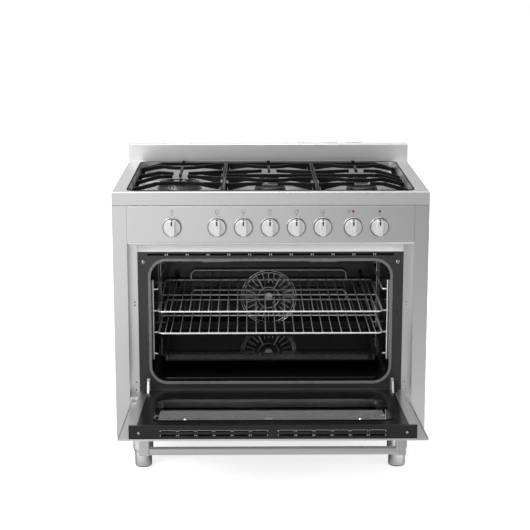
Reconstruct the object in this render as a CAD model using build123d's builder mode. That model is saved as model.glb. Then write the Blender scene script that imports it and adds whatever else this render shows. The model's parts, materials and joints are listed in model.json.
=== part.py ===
"""Freestanding range: gas hob with three grates, fan oven with its door let down, four levelling feet."""

import os
from math import cos, hypot, pi, radians, sin

from build123d import *

os.makedirs("parts", exist_ok=True)

# Driving dimensions, in millimetres and degrees. Distances "behind" count from the front plane.
# Cabinet
width = 900
depth = 635
hob_height = 845
cabinet_floor = 118
sheet = 1.2
seam = 0.5
post_width = 41
oven_setback = 43
back_setback = 25
base_flange = 20
vent_count = 8
vent_rows = 2
vent_pitch = 70
vent_row_pitch = 16
vent_length = 50
vent_height = 5
vent_drop = 70

# Hob
skirt = 38
skirt_gap = 1
hob_edge_radius = 3
well_side = 42
well_front = 25
well_length = 565
well_depth = 35
well_corner = 25
seal_width = 3
seal_height = 1.5

# Backguard
guard_height = 57
guard_thickness = 35
louvre_count = 8
louvre_pitch = 79.5
louvre_length = 53.6
louvre_width = 18
louvre_rise = 6
louvre_edge = 3

# Control panel and controls
panel_height = 113
panel_bend = 8
panel_flange = 20
recess_bend = 3
recess_drop = 29
knob_drop = 62
burner_knob_middle = -2.5
knob_pitch = 75
timer_knob_x = -280
oven_knob_x = 233.5
knob_radius = 24
knob_skirt = 6
knob_lift = 4.2
knob_edge = 1.5
grip_width = 19
grip_length = 46
grip_height = 19
grip_corner = 6
grip_taper = 3
bezel_radius = 28.5
bezel_height = 5
bezel_gap = 0.8
bezel_edge = 1.5
spindle_radius = 4
spindle_flat = 2.6
spindle_front = 20
push_travel = 3
push_spare = 1
panel_hole_gap = 1.2
running_fit = 0.05
lens_radius = 4
lens_proud = 2
lens_rise = 45
valve_width = 26
valve_height = 34
valve_front = 16
valve_back = 52
valve_corner = 1.5
bush_radius = 8
manifold_radius = 8
manifold_overhang = 40
manifold_side = 65
manifold_bend = 30
inlet_radius = 10.5
inlet_length = 22
switch_radius = 22
switch_depth = 34

# Burners and grates
side_burner_x = 271
single_burner_behind = 285
front_burner_behind = 187
rear_burner_behind = 390
wok_radius = 62
wok_inner_radius = 25
wok_channel = 40
front_burner_radius = 46
rear_burner_radius = 31
burner_flange = 5
burner_flange_height = 3
crown_height = 12
cap_height = 6
cap_edge = 2.5
cap_inset = 1.5
cup_inset = 8
cup_depth = 26
cup_gap = 0.6
port_width = 2.4
port_height = 6
port_depth = 4
port_pitch = 10
electrode_radius = 2.5
electrode_height = 12
tip_radius = 0.8
tip_height = 5
electrode_gap = 3.5
grate_rise = 1
grate_gap = 3
grate_split = 135.5
rail_width = 4
rail_height = 9
low_rail_height = 7
finger_width = 7
finger_spread = 26
bar_depth = 10
bar_flat = 30
bar_bend = 65
web_depth = 20
web_notch = 9
web_rise = 3
web_full = 20
web_length = 70
foot_width = 9
foot_web = 26
foot_slope = 66
foot_drop = 18
rear_rail_behind = 572
lug_width = 10
lug_rise = 5.5

# Grate bars: distance behind at both ends, behind in the middle, half the width of the bow
wok_bars = [(168, 186, 64), (551, 485, 102)]
pair_bars = [(266, 232, 81), (553, 506, 94)]
pair_straight_bar = 326
# Grate fingers: distance behind at the outer root, at the inner root and at the tip
wok_fingers = [(295, 272, 310), (417, 407, 369)]
pair_fingers = [(150, 150, 171), (393, 393, 420)]
# Rear centre finger: distance behind at its root and at its tip
wok_rear_finger = (485, 321)
pair_rear_finger = (506, 417)
# Inner legs: distance behind
wok_legs = [168, 551]
pair_legs = [150, 553]

# Oven
enamel = 1.5
frame_half = 383
frame_bottom = 240
opening_half = 346
opening_bottom = 276
opening_height = 360
opening_corner = 46
oven_depth = 436
gasket_width = 8
gasket_proud = 2.6
gasket_edge = 1.2
slot_count = 12
slot_pitch = 60
slot_length = 52
slot_height = 6
slot_drop = 8
ridge_length = 650
ridge_height = 5
ridge_proud = 3
ridge_rise = 9
rung_radius = 2.5
rung_bend = 7
rung_clearance = 0.3
guide_front = 40
guide_back = 30
guide_gap = 0.2
level_pitch = 65
first_level = 354
level_count = 4
guide_margin = 22
rack_width = 660
rack_wire = 2.4
brace_wire = 2
rack_guard_gap = 0.3
rack_front_gap = 6
rack_back_gap = 13
rack_corner = 18
rod_radius = 1.5
rod_sink = 0.8
rod_overhang = 2
brace_rise = 0.6
rod_count = 22
rod_pitch = 27.7
end_rod = 307
rail_rise = 32
rack_guard_width = 494
rack_guard_bend = 16
tray_lip = 14
tray_depth = 23
tray_front_gap = 14
tray_back_gap = 34
tray_corner = 16
tray_edge = 6
tray_dip = 6
tray_dip_length = 516
fan_height = 423
fan_pocket_radius = 86
fan_pocket_depth = 38
fan_radius = 76
fan_blades = 24
blade_thickness = 1.5
blade_depth = 22
blade_inner = 46
fan_gap = 6
fan_hub_radius = 12
guard_ring = 88.6
guard_step = 7
guard_wire = 2
guard_inner_ring = 34
guard_spokes = 6
motor_radius = 38
motor_length = 48
motor_edge = 6
motor_plate = 52
motor_shaft_radius = 4
shaft_clearance = 2
lamp_x = 292
lamp_height = 486
lamp_width = 16
lamp_length = 55
lamp_proud = 6
lamp_edge = 3
element_radius = 3.25
element_drop = 20
element_half = 210
element_step = 105
element_front = 90
element_turn = 70
element_bend = 24

# Door, drawn let down to its stop
open_angle = 85
hinge_inset = 8
hinge_height = 231
door_bottom = 16
door_length = 440
door_thickness = 40
door_gap = 5
skin_width = 812
skin_edge = 5
skin_corner = 2
body_width = 752
inner_panel_width = 710
glass = 4
glass_lap = 12
window_width = 626
window_low = 136
window_high = 373
window_corner = 12
inner_window_width = 636
inner_window_low = 134
inner_window_high = 396
inner_window_corner = 30
bead_width = 5
bead_proud = 2
cap_length = 12
cap_wall = 2
cap_slots = 6
cap_slot_pitch = 47.3
cap_slot_length = 41
cap_slot_height = 4.5
cap_slot_rows = 11.7
cap_slot_middle = 15
handle_length = 704
handle_bar = 21
handle_bar_corner = 8
handle_bar_reach = 39
handle_bracket = 27
handle_bracket_reach = 50
handle_bracket_height = 24
handle_corner = 4
handle_from_edge = 50
hinge_x = 357
hook_thickness = 6
arm_thickness = 4
arm_gap = 1
arm_length = 130
arm_plate = 55
arm_plate_thickness = 2
eye_radius = 6.5
pin_radius = 3
pin_head = 2
hook_rise = 50
hook_root = 20
receiver_plate = 2
receiver_plate_width = 10
receiver_plate_rise = 8
hinge_slot_gap = 2
hinge_slot_rise = 16

# Legs
leg_x = 380
leg_behind = 93
sleeve_radius = 30
sleeve_bottom = 46
sleeve_taper = 10
sleeve_step = 3
foot_radius = 25
foot_neck = 22
foot_edge = 4
foot_gap = 0.3
foot_reach = 92

# Rear connections
terminal_width = 96
terminal_height = 70
terminal_depth = 20
terminal_corner = 4
terminal_x = 250
terminal_z = 690
gland_radius = 9
gland_bore = 6
gland_length = 16
gland_bore_depth = 40

# Places worked out from the driving dimensions
open_turn = radians(open_angle)
door_top = door_bottom + door_length
door_reach = door_top * sin(open_turn) + hinge_inset * cos(open_turn) - hinge_inset
front = (door_reach - depth) / 2
skirt_bottom = hob_height - skirt
panel_top = skirt_bottom - skirt_gap
panel_bottom = panel_top - panel_height
frame_top = panel_bottom - recess_drop - seam
knob_height = panel_top - knob_drop
post_inner = width / 2 - post_width
well_floor = hob_height - well_depth
opening_top = opening_bottom + opening_height
opening_middle = (opening_bottom + opening_top) / 2
liner_front = oven_setback + enamel
liner_back = liner_front + oven_depth
back_behind = depth - back_setback
burner_knob_places = [burner_knob_middle + knob_pitch * (n - 2) for n in range(5)]
switch_knob_places = [timer_knob_x, oven_knob_x, oven_knob_x + knob_pitch]


def save(piece, name):
    """Label a finished piece and write it to its own file."""
    piece.part.label = name
    export_step(piece.part, f"parts/{name}.step")


def level(height):
    """Level plane at a height above the floor."""
    return Plane.XY.offset(height)


def upright(behind):
    """Upright plane that faces the viewer, a distance behind the front plane."""
    return Plane.XZ.offset(-(front + behind))


def facing(x, behind, height):
    """Plane that faces the viewer, with its origin at a point."""
    return Plane(origin=(x, front + behind, height), x_dir=(1, 0, 0), z_dir=(0, -1, 0))


# Side panels, each folded into its front post and the flange beside the oven
for side in ("left", "right"):
    with BuildPart() as side_panel:
        with BuildSketch(level(cabinet_floor)):
            with BuildLine():
                Polyline(
                    (frame_half + seam, front + oven_setback),
                    (post_inner, front + oven_setback),
                    (post_inner, front),
                    (width / 2, front),
                    (width / 2, front + depth),
                )
                offset(amount=sheet, side=Side.LEFT)
            make_face()
        extrude(amount=skirt_bottom - cabinet_floor)
        with BuildSketch(upright(0)):
            with Locations(((post_inner + width / 2) / 2, panel_top + skirt_gap / 2)):
                Rectangle(post_width, skirt_gap)
        extrude(amount=-sheet, mode=Mode.SUBTRACT)
        if side == "left":
            mirror(about=Plane.YZ, mode=Mode.REPLACE)
    save(side_panel, f"side_panel_{side}")

# Back panel with its air slots and the hole for the gas pipe
inner_width = width - 2 * (sheet + seam)
manifold_x = width / 2 - manifold_side
manifold_behind = valve_back + manifold_radius + seam
with BuildPart() as back_panel:
    with BuildSketch(upright(back_behind)):
        with Locations((0, (cabinet_floor + skirt_bottom) / 2)):
            Rectangle(inner_width, skirt_bottom - cabinet_floor)
        with Locations((0, skirt_bottom - vent_drop)):
            with GridLocations(vent_pitch, vent_row_pitch, vent_count, vent_rows):
                SlotOverall(vent_length, vent_height, mode=Mode.SUBTRACT)
        with Locations((manifold_x, knob_height)):
            Circle(manifold_radius + seam, mode=Mode.SUBTRACT)
    extrude(amount=-sheet)
save(back_panel, "back_panel")

# Base pan between the side panels
base_front = front + oven_setback + sheet + seam
base_length = front + back_behind - seam - base_front
with BuildPart() as base_pan:
    with BuildSketch(level(cabinet_floor)):
        with Locations((0, base_front + base_length / 2)):
            Rectangle(inner_width, base_length)
    extrude(amount=base_flange)
    with BuildSketch(level(cabinet_floor + sheet)):
        with Locations((0, base_front + base_length / 2)):
            Rectangle(inner_width - 2 * sheet, base_length - 2 * sheet)
    extrude(amount=base_flange - sheet, mode=Mode.SUBTRACT)
save(base_pan, "base_pan")

# Lower front panel, notched where the door hinges swing
lower_top = hinge_height + door_bottom - door_gap
hinge_slot = hook_thickness + 2 * (arm_gap + arm_thickness + pin_head + hinge_slot_gap)
with BuildPart() as lower_panel:
    with BuildSketch(Plane.YZ):
        with BuildLine():
            Polyline(
                (front + oven_setback - seam, cabinet_floor),
                (front, cabinet_floor),
                (front, lower_top),
                (front + oven_setback - seam, lower_top),
            )
            offset(amount=sheet, side=Side.RIGHT)
        make_face()
    extrude(amount=post_inner - seam, both=True)
    notch_bottom = hinge_height - eye_radius - hinge_slot_gap
    with BuildSketch(upright(0)):
        for x in (-hinge_x, hinge_x):
            with Locations((x, (notch_bottom + lower_top) / 2)):
                Rectangle(hinge_slot, lower_top - notch_bottom)
    extrude(amount=-oven_setback, mode=Mode.SUBTRACT)
save(lower_panel, "lower_panel")

# Hob top: a pressed sheet with a skirt and a deep well, pierced under each burner
well_width = width - 2 * well_side
well_middle = front + well_front + well_length / 2
burners = [
    (-side_burner_x, front + single_burner_behind, wok_radius),
    (0, front + front_burner_behind, front_burner_radius),
    (0, front + rear_burner_behind, rear_burner_radius),
    (side_burner_x, front + front_burner_behind, front_burner_radius),
    (side_burner_x, front + rear_burner_behind, rear_burner_radius),
]
with BuildPart() as hob_top:
    with BuildSketch(level(skirt_bottom)):
        with Locations((0, front + depth / 2)):
            Rectangle(width, depth)
    extrude(amount=skirt)
    fillet(hob_top.faces().sort_by(Axis.Z)[-1].edges(), radius=hob_edge_radius)
    with BuildSketch(level(skirt_bottom)):
        with Locations((0, front + depth / 2)):
            Rectangle(width - 2 * sheet, depth - 2 * sheet)
    extrude(amount=skirt - sheet, mode=Mode.SUBTRACT)
    with BuildSketch(level(well_floor - sheet)):
        with Locations((0, well_middle)):
            RectangleRounded(well_width + 2 * sheet, well_length + 2 * sheet, well_corner + sheet)
    extrude(amount=well_depth)
    with BuildSketch(level(well_floor)):
        with Locations((0, well_middle)):
            RectangleRounded(well_width, well_length, well_corner)
    extrude(amount=well_depth, mode=Mode.SUBTRACT)
    with BuildSketch(level(well_floor)):
        for x, y, radius in burners:
            with Locations((x, y)):
                Circle(radius - cup_inset + cup_gap)
    extrude(amount=-sheet, mode=Mode.SUBTRACT)
save(hob_top, "hob_top")

# Seal round the edge of the well
with BuildPart() as hob_seal:
    with BuildSketch(level(hob_height)):
        with Locations((0, well_middle)):
            RectangleRounded(
                well_width + 2 * seal_width, well_length + 2 * seal_width, well_corner + seal_width
            )
            RectangleRounded(well_width, well_length, well_corner, mode=Mode.SUBTRACT)
    extrude(amount=seal_height)
save(hob_seal, "hob_seal")

# Backguard, open below, with a row of raised louvres that open to the rear
guard_middle = front + depth - guard_thickness / 2
guard_top = hob_height + guard_height
with BuildPart() as backguard:
    with BuildSketch(level(hob_height)):
        with Locations((0, guard_middle)):
            Rectangle(width, guard_thickness)
    extrude(amount=guard_height)
    fillet(backguard.faces().sort_by(Axis.Z)[-1].edges(), radius=hob_edge_radius)
    with BuildSketch(level(guard_top)):
        with Locations((0, guard_middle)):
            with GridLocations(louvre_pitch, 0, louvre_count, 1):
                Rectangle(louvre_length, louvre_width)
    extrude(amount=louvre_rise)
    fillet(backguard.faces().filter_by(Axis.Z).group_by(Axis.Z)[-1].edges(), radius=louvre_edge)
    with BuildSketch(level(hob_height)):
        with Locations((0, guard_middle)):
            Rectangle(width - 2 * sheet, guard_thickness - 2 * sheet)
    extrude(amount=guard_height - sheet, mode=Mode.SUBTRACT)
    with BuildSketch(level(guard_top - sheet)):
        with Locations((0, guard_middle + sheet)):
            with GridLocations(louvre_pitch, 0, louvre_count, 1):
                Rectangle(louvre_length - 2 * louvre_edge, louvre_width)
    extrude(amount=louvre_rise, mode=Mode.SUBTRACT)
save(backguard, "backguard")

# Control panel: flat face, round bottom fold and the recessed strip over the oven
panel_half = post_inner - seam
with BuildPart() as control_panel:
    with BuildSketch(Plane.YZ):
        with BuildLine():
            FilletPolyline(
                (front + panel_flange, panel_top),
                (front, panel_top),
                (front, panel_bottom),
                (front + oven_setback, panel_bottom),
                (front + oven_setback, frame_top + seam),
                radius=(hob_edge_radius, panel_bend, recess_bend),
            )
            offset(amount=sheet, side=Side.LEFT)
        make_face()
    extrude(amount=panel_half, both=True)
    with BuildSketch(upright(oven_setback - seam)):
        for side in (-1, 1):
            with Locations((side * (frame_half + panel_half) / 2, panel_bottom - recess_drop / 2)):
                Rectangle(panel_half - frame_half, recess_drop + panel_bend)
    extrude(amount=-panel_flange, mode=Mode.SUBTRACT)
    with BuildSketch(upright(0)):
        for x in burner_knob_places + switch_knob_places:
            with Locations((x, knob_height)):
                Circle(spindle_radius + panel_hole_gap)
        for x in switch_knob_places[1:]:
            with Locations((x, knob_height + lens_rise)):
                Circle(lens_radius + running_fit)
    extrude(amount=-sheet, mode=Mode.SUBTRACT)
save(control_panel, "control_panel")

# Bezel rings round the knobs
bezel_bore = knob_radius + bezel_gap
with BuildPart() as knob_bezels:
    with BuildSketch(upright(0)):
        for x in burner_knob_places + switch_knob_places:
            with Locations((x, knob_height)):
                Circle(bezel_radius)
                Circle(bezel_bore, mode=Mode.SUBTRACT)
    extrude(amount=bezel_height)
    fillet(knob_bezels.faces().group_by(Axis.Y)[0].edges(), radius=bezel_edge)
save(knob_bezels, "knob_bezels")

# Pilot lenses, held in the panel by a stem
with BuildPart() as indicator_lenses:
    for x in switch_knob_places[1:]:
        with BuildSketch(upright(sheet)):
            with Locations((x, knob_height + lens_rise)):
                Circle(lens_radius)
        extrude(amount=sheet + lens_proud)
    fillet(indicator_lenses.faces().group_by(Axis.Y)[0].edges(), radius=lens_proud / 2)
save(indicator_lenses, "indicator_lenses")

# Gas valves on the manifold, each with a bush that clamps behind the panel
with BuildPart() as gas_valves:
    for x in burner_knob_places:
        with BuildSketch(upright(sheet)):
            with Locations((x, knob_height)):
                Circle(bush_radius)
        extrude(amount=-(valve_front - sheet))
        with BuildSketch(upright(valve_front)):
            with Locations((x, knob_height)):
                RectangleRounded(valve_width, valve_height, valve_corner)
        extrude(amount=-(valve_back - valve_front))
        with BuildSketch(upright(sheet)):
            with Locations((x, knob_height)):
                Circle(spindle_radius + running_fit)
        extrude(amount=-(valve_back - valve_front), mode=Mode.SUBTRACT)
save(gas_valves, "gas_valves")

# Gas manifold, with the threaded inlet behind the back panel
inlet_front = back_behind + sheet + seam
with BuildPart() as gas_manifold:
    with BuildLine() as pipe:
        FilletPolyline(
            (burner_knob_places[0] - manifold_overhang, front + manifold_behind, knob_height),
            (manifold_x, front + manifold_behind, knob_height),
            (manifold_x, front + inlet_front + seam, knob_height),
            radius=manifold_bend,
        )
    with BuildSketch(Plane(origin=pipe.line @ 0, z_dir=pipe.line % 0)):
        Circle(manifold_radius)
    sweep()
    with BuildSketch(facing(manifold_x, inlet_front, knob_height)):
        Circle(inlet_radius)
    extrude(amount=-inlet_length)
save(gas_manifold, "gas_manifold")

# Oven switches behind the panel
with BuildPart() as oven_switches:
    for x in switch_knob_places:
        with BuildSketch(upright(sheet)):
            with Locations((x, knob_height)):
                Circle(switch_radius)
        extrude(amount=-switch_depth)
        with BuildSketch(upright(sheet)):
            with Locations((x, knob_height)):
                Circle(spindle_radius + running_fit)
        extrude(amount=-(switch_depth - sheet), mode=Mode.SUBTRACT)
save(oven_switches, "oven_switches")


def flatted_circle(radius, flat):
    """Round shaft section with one flat on its upper side."""
    Circle(radius)
    with Locations((0, flat + radius)):
        Rectangle(2 * radius, 2 * radius, mode=Mode.SUBTRACT)


def knob_body(x):
    """Round skirt and upright grip, added to the piece being built."""
    with BuildSketch(facing(x, -knob_lift, knob_height)) as skirt_outline:
        Circle(knob_radius)
    extrude(skirt_outline.sketch, amount=knob_skirt)
    skirt_face = faces().sort_by(Axis.Y)[0]
    fillet(skirt_face.edges(), radius=knob_edge)
    with BuildSketch(facing(x, -knob_lift - knob_skirt, knob_height)) as grip_outline:
        RectangleRounded(grip_width, grip_length, grip_corner)
    extrude(grip_outline.sketch, amount=grip_height, taper=grip_taper)
    grip_face = faces().sort_by(Axis.Y)[0]
    fillet(grip_face.edges(), radius=knob_edge)


# Burner knobs slide on flatted spindles that turn in the valves
for number, x in enumerate(burner_knob_places, start=1):
    with BuildPart() as spindle:
        with BuildSketch(facing(x, valve_back - valve_front - sheet, knob_height)):
            Circle(spindle_radius)
        extrude(amount=valve_back - valve_front - sheet)
        with BuildSketch(facing(x, 0, knob_height)):
            flatted_circle(spindle_radius, spindle_flat)
        extrude(amount=spindle_front)
    save(spindle, f"burner_spindle_{number}")
    with BuildPart() as burner_knob:
        knob_body(x)
        with BuildSketch(facing(x, -knob_lift, knob_height)):
            flatted_circle(spindle_radius + running_fit, spindle_flat + running_fit)
        extrude(amount=spindle_front + push_travel + push_spare - knob_lift, mode=Mode.SUBTRACT)
    save(burner_knob, f"burner_knob_{number}")

# Oven knobs carry their own stems into the switches
for name, x in zip(("timer", "function", "thermostat"), switch_knob_places):
    with BuildPart() as oven_knob:
        knob_body(x)
        with BuildSketch(facing(x, -knob_lift, knob_height)):
            Circle(spindle_radius)
        extrude(amount=-(knob_lift + switch_depth / 2))
    save(oven_knob, f"{name}_knob")

# Burner bodies: a cup below the hob, a flange on it and a crown with gas ports
crown_base = well_floor + burner_flange_height
crown_top = crown_base + crown_height


def crown_ports(x, y, radius):
    """Ring of gas ports round a burner crown."""
    ports = int(2 * pi * radius / port_pitch)
    with BuildSketch(level(crown_top - port_height)) as port_outlines:
        with Locations((x, y)):
            with PolarLocations(radius - port_depth / 2, ports):
                Rectangle(port_depth + seam, port_width)
    extrude(port_outlines.sketch, amount=port_height, mode=Mode.SUBTRACT)


with BuildPart() as burner_bodies:
    for x, y, radius in burners:
        with BuildSketch(level(well_floor - cup_depth)):
            with Locations((x, y)):
                Circle(radius - cup_inset)
        extrude(amount=cup_depth)
        with BuildSketch(level(well_floor)):
            with Locations((x, y)):
                Circle(radius + burner_flange)
        extrude(amount=burner_flange_height)
        with BuildSketch(level(crown_base)):
            with Locations((x, y)):
                Circle(radius)
                if radius == wok_radius:
                    Circle(wok_channel, mode=Mode.SUBTRACT)
                    Circle(wok_inner_radius)
        extrude(amount=crown_height)
        crown_ports(x, y, radius)
        if radius == wok_radius:
            crown_ports(x, y, wok_inner_radius)
save(burner_bodies, "burner_bodies")

# Burner caps, slightly domed; the wide burner has a ring cap and a small inner cap
with BuildPart() as burner_caps:
    with BuildSketch(level(crown_top)):
        for x, y, radius in burners:
            with Locations((x, y)):
                Circle(radius - cap_inset)
                if radius == wok_radius:
                    Circle(wok_channel + cap_inset, mode=Mode.SUBTRACT)
                    Circle(wok_inner_radius - cap_inset)
    extrude(amount=cap_height)
    fillet(burner_caps.faces().group_by(Axis.Z)[-1].edges(), radius=cap_edge)
save(burner_caps, "burner_caps")

# Spark electrodes beside the burners
with BuildPart() as spark_electrodes:
    for x, y, radius in burners:
        reach = radius + burner_flange + electrode_gap
        with BuildSketch(level(well_floor)):
            with Locations((x + reach, y)):
                Circle(electrode_radius)
        extrude(amount=electrode_height)
        with BuildSketch(level(well_floor + electrode_height)):
            with Locations((x + reach, y)):
                Circle(tip_radius)
        extrude(amount=tip_height)
save(spark_electrodes, "spark_electrodes")

# Grates: bars and fingers trimmed to one cross section, tied by thin rails
grate_top = hob_height + grate_rise
grate_front = front + well_front + grate_gap
grate_back = front + well_front + well_length - grate_gap
grate_middle = (grate_front + grate_back) / 2
grate_edge = well_width / 2 - grate_gap
leg_end = well_floor + seam
leg_drop = leg_end - grate_top
# End sections, as distance from the end and height over the top; the outer ends slope down to feet
joint_end = [
    (0, 0),
    (0, -rail_height),
    (web_notch, -rail_height),
    (web_notch + web_rise, -web_depth),
    (web_full, -web_depth),
    (web_length, -bar_depth),
]
outer_end = [
    (foot_slope, 0),
    (0, -foot_drop),
    (0, leg_drop),
    (foot_width, leg_drop),
    (foot_width + web_rise, -foot_web),
    (foot_slope + foot_width, -bar_depth),
]
grate_places = {
    "left": (-grate_edge, -grate_split - grate_gap / 2),
    "centre": (-grate_split + grate_gap / 2, grate_split - grate_gap / 2),
    "right": (grate_split + grate_gap / 2, grate_edge),
}
for name, (left, right) in grate_places.items():
    x = (left + right) / 2
    bars = pair_bars
    straight_bars = [pair_straight_bar, rear_rail_behind]
    finger_rows = pair_fingers
    rear_root, rear_tip = pair_rear_finger
    leg_rows = pair_legs
    if name == "left":
        bars = wok_bars
        straight_bars = [rear_rail_behind]
        finger_rows = wok_fingers
        rear_root, rear_tip = wok_rear_finger
        leg_rows = wok_legs
    with BuildPart() as grate_casting:
        with BuildSketch(level(leg_end)):
            for ends, middle, reach in bars:
                with BuildLine():
                    FilletPolyline(
                        (left, front + ends),
                        (x - reach, front + ends),
                        (x - bar_flat, front + middle),
                        (x + bar_flat, front + middle),
                        (x + reach, front + ends),
                        (right, front + ends),
                        radius=bar_bend,
                    )
                    offset(amount=finger_width / 2, side=Side.BOTH)
                make_face()
            for behind in straight_bars:
                with BuildLine():
                    Line((left, front + behind), (right, front + behind))
                    offset(amount=finger_width / 2, side=Side.BOTH)
                make_face()
            for outer_root, inner_root, tip in finger_rows:
                for root_x, root, side in ((left, outer_root, -1), (right, inner_root, 1)):
                    with BuildLine():
                        Line((root_x, front + root), (x + side * finger_spread, front + tip))
                        offset(amount=finger_width / 2, side=Side.BOTH)
                    make_face()
            with BuildLine():
                Line((x, front + rear_root), (x, front + rear_tip))
                offset(amount=finger_width / 2, side=Side.BOTH)
            make_face()
        extrude(amount=-leg_drop)
        left_end = outer_end if name == "left" else joint_end
        right_end = outer_end if name == "right" else joint_end
        section = [(left + step, grate_top + rise) for step, rise in left_end]
        section += [(right - step, grate_top + rise) for step, rise in reversed(right_end)]
        with BuildSketch(upright(well_front)):
            with BuildLine():
                Polyline(*section, close=True)
            make_face()
        extrude(amount=-well_length, mode=Mode.INTERSECT)
        for edge, inward, end in ((left, 1, left_end), (right, -1, right_end)):
            high = end == joint_end
            near = grate_front if high else front + leg_rows[0]
            far = grate_back if high else front + rear_rail_behind
            with BuildSketch(level(grate_top - rail_height if high else leg_end)):
                with Locations((edge + inward * rail_width / 2, (near + far) / 2)):
                    Rectangle(rail_width, far - near)
            extrude(amount=rail_height if high else low_rail_height)
            if high:
                with BuildSketch(level(leg_end)):
                    for behind in leg_rows:
                        with Locations((edge + inward * foot_width / 2, front + behind)):
                            Rectangle(foot_width, finger_width)
                extrude(amount=-leg_drop - rail_height)
        with BuildSketch(level(grate_top)):
            with Locations((x, front + rear_rail_behind)):
                Rectangle(lug_width, finger_width)
        extrude(amount=lug_rise)
    save(grate_casting, f"grate_{name}")

# Oven front frame with its rounded opening, cooling slots and bottom ridge
with BuildPart() as oven_front_frame:
    with BuildSketch(upright(oven_setback)):
        with Locations((0, (frame_bottom + frame_top) / 2)):
            Rectangle(2 * frame_half, frame_top - frame_bottom)
        with Locations((0, opening_middle)):
            RectangleRounded(2 * opening_half, opening_height, opening_corner, mode=Mode.SUBTRACT)
        with Locations((0, frame_top - slot_drop)):
            with GridLocations(slot_pitch, 0, slot_count, 1):
                SlotOverall(slot_length, slot_height, mode=Mode.SUBTRACT)
    extrude(amount=-enamel)
    with BuildSketch(upright(oven_setback)):
        with Locations((0, frame_bottom + ridge_rise + ridge_height / 2)):
            Rectangle(ridge_length, ridge_height)
    extrude(amount=ridge_proud)
    fillet(oven_front_frame.faces().sort_by(Axis.Y)[0].edges(), radius=ridge_proud / 2)
save(oven_front_frame, "oven_front_frame")

# Door seal round the opening
with BuildPart() as door_seal:
    with BuildSketch(upright(oven_setback)):
        with Locations((0, opening_middle)):
            RectangleRounded(
                2 * (opening_half + gasket_width),
                opening_height + 2 * gasket_width,
                opening_corner + gasket_width,
            )
            RectangleRounded(2 * opening_half, opening_height, opening_corner, mode=Mode.SUBTRACT)
    extrude(amount=gasket_proud)
    fillet(door_seal.faces().sort_by(Axis.Y)[0].edges(), radius=gasket_edge)
save(door_seal, "door_seal")

# Oven liner with the round pocket for the fan in its back wall
fan_back = liner_back + enamel + fan_pocket_depth
with BuildPart() as oven_liner:
    with BuildSketch(upright(liner_front)):
        with Locations((0, opening_middle)):
            RectangleRounded(
                2 * (opening_half + enamel),
                opening_height + 2 * enamel,
                opening_corner + enamel,
            )
    extrude(amount=-(oven_depth + enamel))
    with BuildSketch(upright(liner_back)):
        with Locations((0, fan_height)):
            Circle(fan_pocket_radius + enamel)
    extrude(amount=-(fan_back - liner_back))
    with BuildSketch(upright(liner_front)):
        with Locations((0, opening_middle)):
            RectangleRounded(2 * opening_half, opening_height, opening_corner)
    extrude(amount=-oven_depth, mode=Mode.SUBTRACT)
    with BuildSketch(upright(liner_back)):
        with Locations((0, fan_height)):
            Circle(fan_pocket_radius)
    extrude(amount=-(fan_back - enamel - liner_back), mode=Mode.SUBTRACT)
    with BuildSketch(upright(fan_back)):
        with Locations((0, fan_height)):
            Circle(motor_shaft_radius + shaft_clearance)
    extrude(amount=enamel, mode=Mode.SUBTRACT)
save(oven_liner, "oven_liner")

# Wire guides on both side walls: two uprights and a bent rung for each level
rung_x = rack_width / 2 - rack_wire
upright_x = opening_half - rung_radius - guide_gap
guide_near = front + liner_front + guide_front
guide_far = front + liner_back - guide_back
rung_drop = rack_wire + rung_clearance + rung_radius
with BuildPart() as rack_guides:
    for side in (-1, 1):
        for y in (guide_near, guide_far):
            with BuildSketch(level(first_level - guide_margin)):
                with Locations((side * upright_x, y)):
                    Circle(rung_radius)
            extrude(amount=level_pitch * (level_count - 1) + 2 * guide_margin)
        for n in range(level_count):
            height = first_level + n * level_pitch - rung_drop
            with BuildLine() as rung:
                FilletPolyline(
                    (side * upright_x, guide_near, height),
                    (side * rung_x, guide_near, height),
                    (side * rung_x, guide_far, height),
                    (side * upright_x, guide_far, height),
                    radius=rung_bend,
                )
            with BuildSketch(Plane(origin=rung.line @ 0, z_dir=rung.line % 0)):
                Circle(rung_radius)
            sweep()
save(rack_guides, "rack_guides")

# Wire racks, each with a raised rear guard that stands on its rear bar
rack_front = front + oven_setback + rack_front_gap + rack_wire
rack_back = front + liner_back - rack_back_gap - rack_wire
rack_half = rack_width / 2 - rack_wire
for name, number in (("lower", 1), ("upper", 2)):
    height = first_level + number * level_pitch
    with BuildPart() as rack:
        with BuildLine() as rim:
            FilletPolyline(
                (rack_half, rack_front, height),
                (rack_half, rack_back, height),
                (-rack_half, rack_back, height),
                (-rack_half, rack_front, height),
                radius=rack_corner,
                close=True,
            )
        with BuildSketch(Plane(origin=rim.line @ 0, z_dir=rim.line % 0)):
            Circle(rack_wire)
        sweep()
        rods = [rod_pitch * (n - (rod_count - 1) / 2) for n in range(rod_count)] + [-end_rod, end_rod]
        with BuildSketch(Plane.XZ.offset(rod_overhang - rack_front)):
            for x in rods:
                with Locations((x, height + rack_wire + rod_radius - rod_sink)):
                    RegularPolygon(rod_radius, 6, rotation=30)
        extrude(amount=-(rack_back - rack_front + 2 * rod_overhang))
        with BuildSketch(Plane.YZ.offset(-rack_half)):
            with Locations(((rack_front + rack_back) / 2, height + brace_rise)):
                RegularPolygon(brace_wire, 6)
        extrude(amount=2 * rack_half)
        with BuildLine() as guard:
            FilletPolyline(
                (-rack_guard_width / 2, rack_back, height + rack_wire + rack_guard_gap),
                (-rack_guard_width / 2, rack_back, height + rail_rise),
                (rack_guard_width / 2, rack_back, height + rail_rise),
                (rack_guard_width / 2, rack_back, height + rack_wire + rack_guard_gap),
                radius=rack_guard_bend,
            )
        with BuildSketch(Plane(origin=guard.line @ 0, z_dir=guard.line % 0)):
            Circle(brace_wire)
        sweep()
    save(rack, f"rack_{name}")

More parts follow.
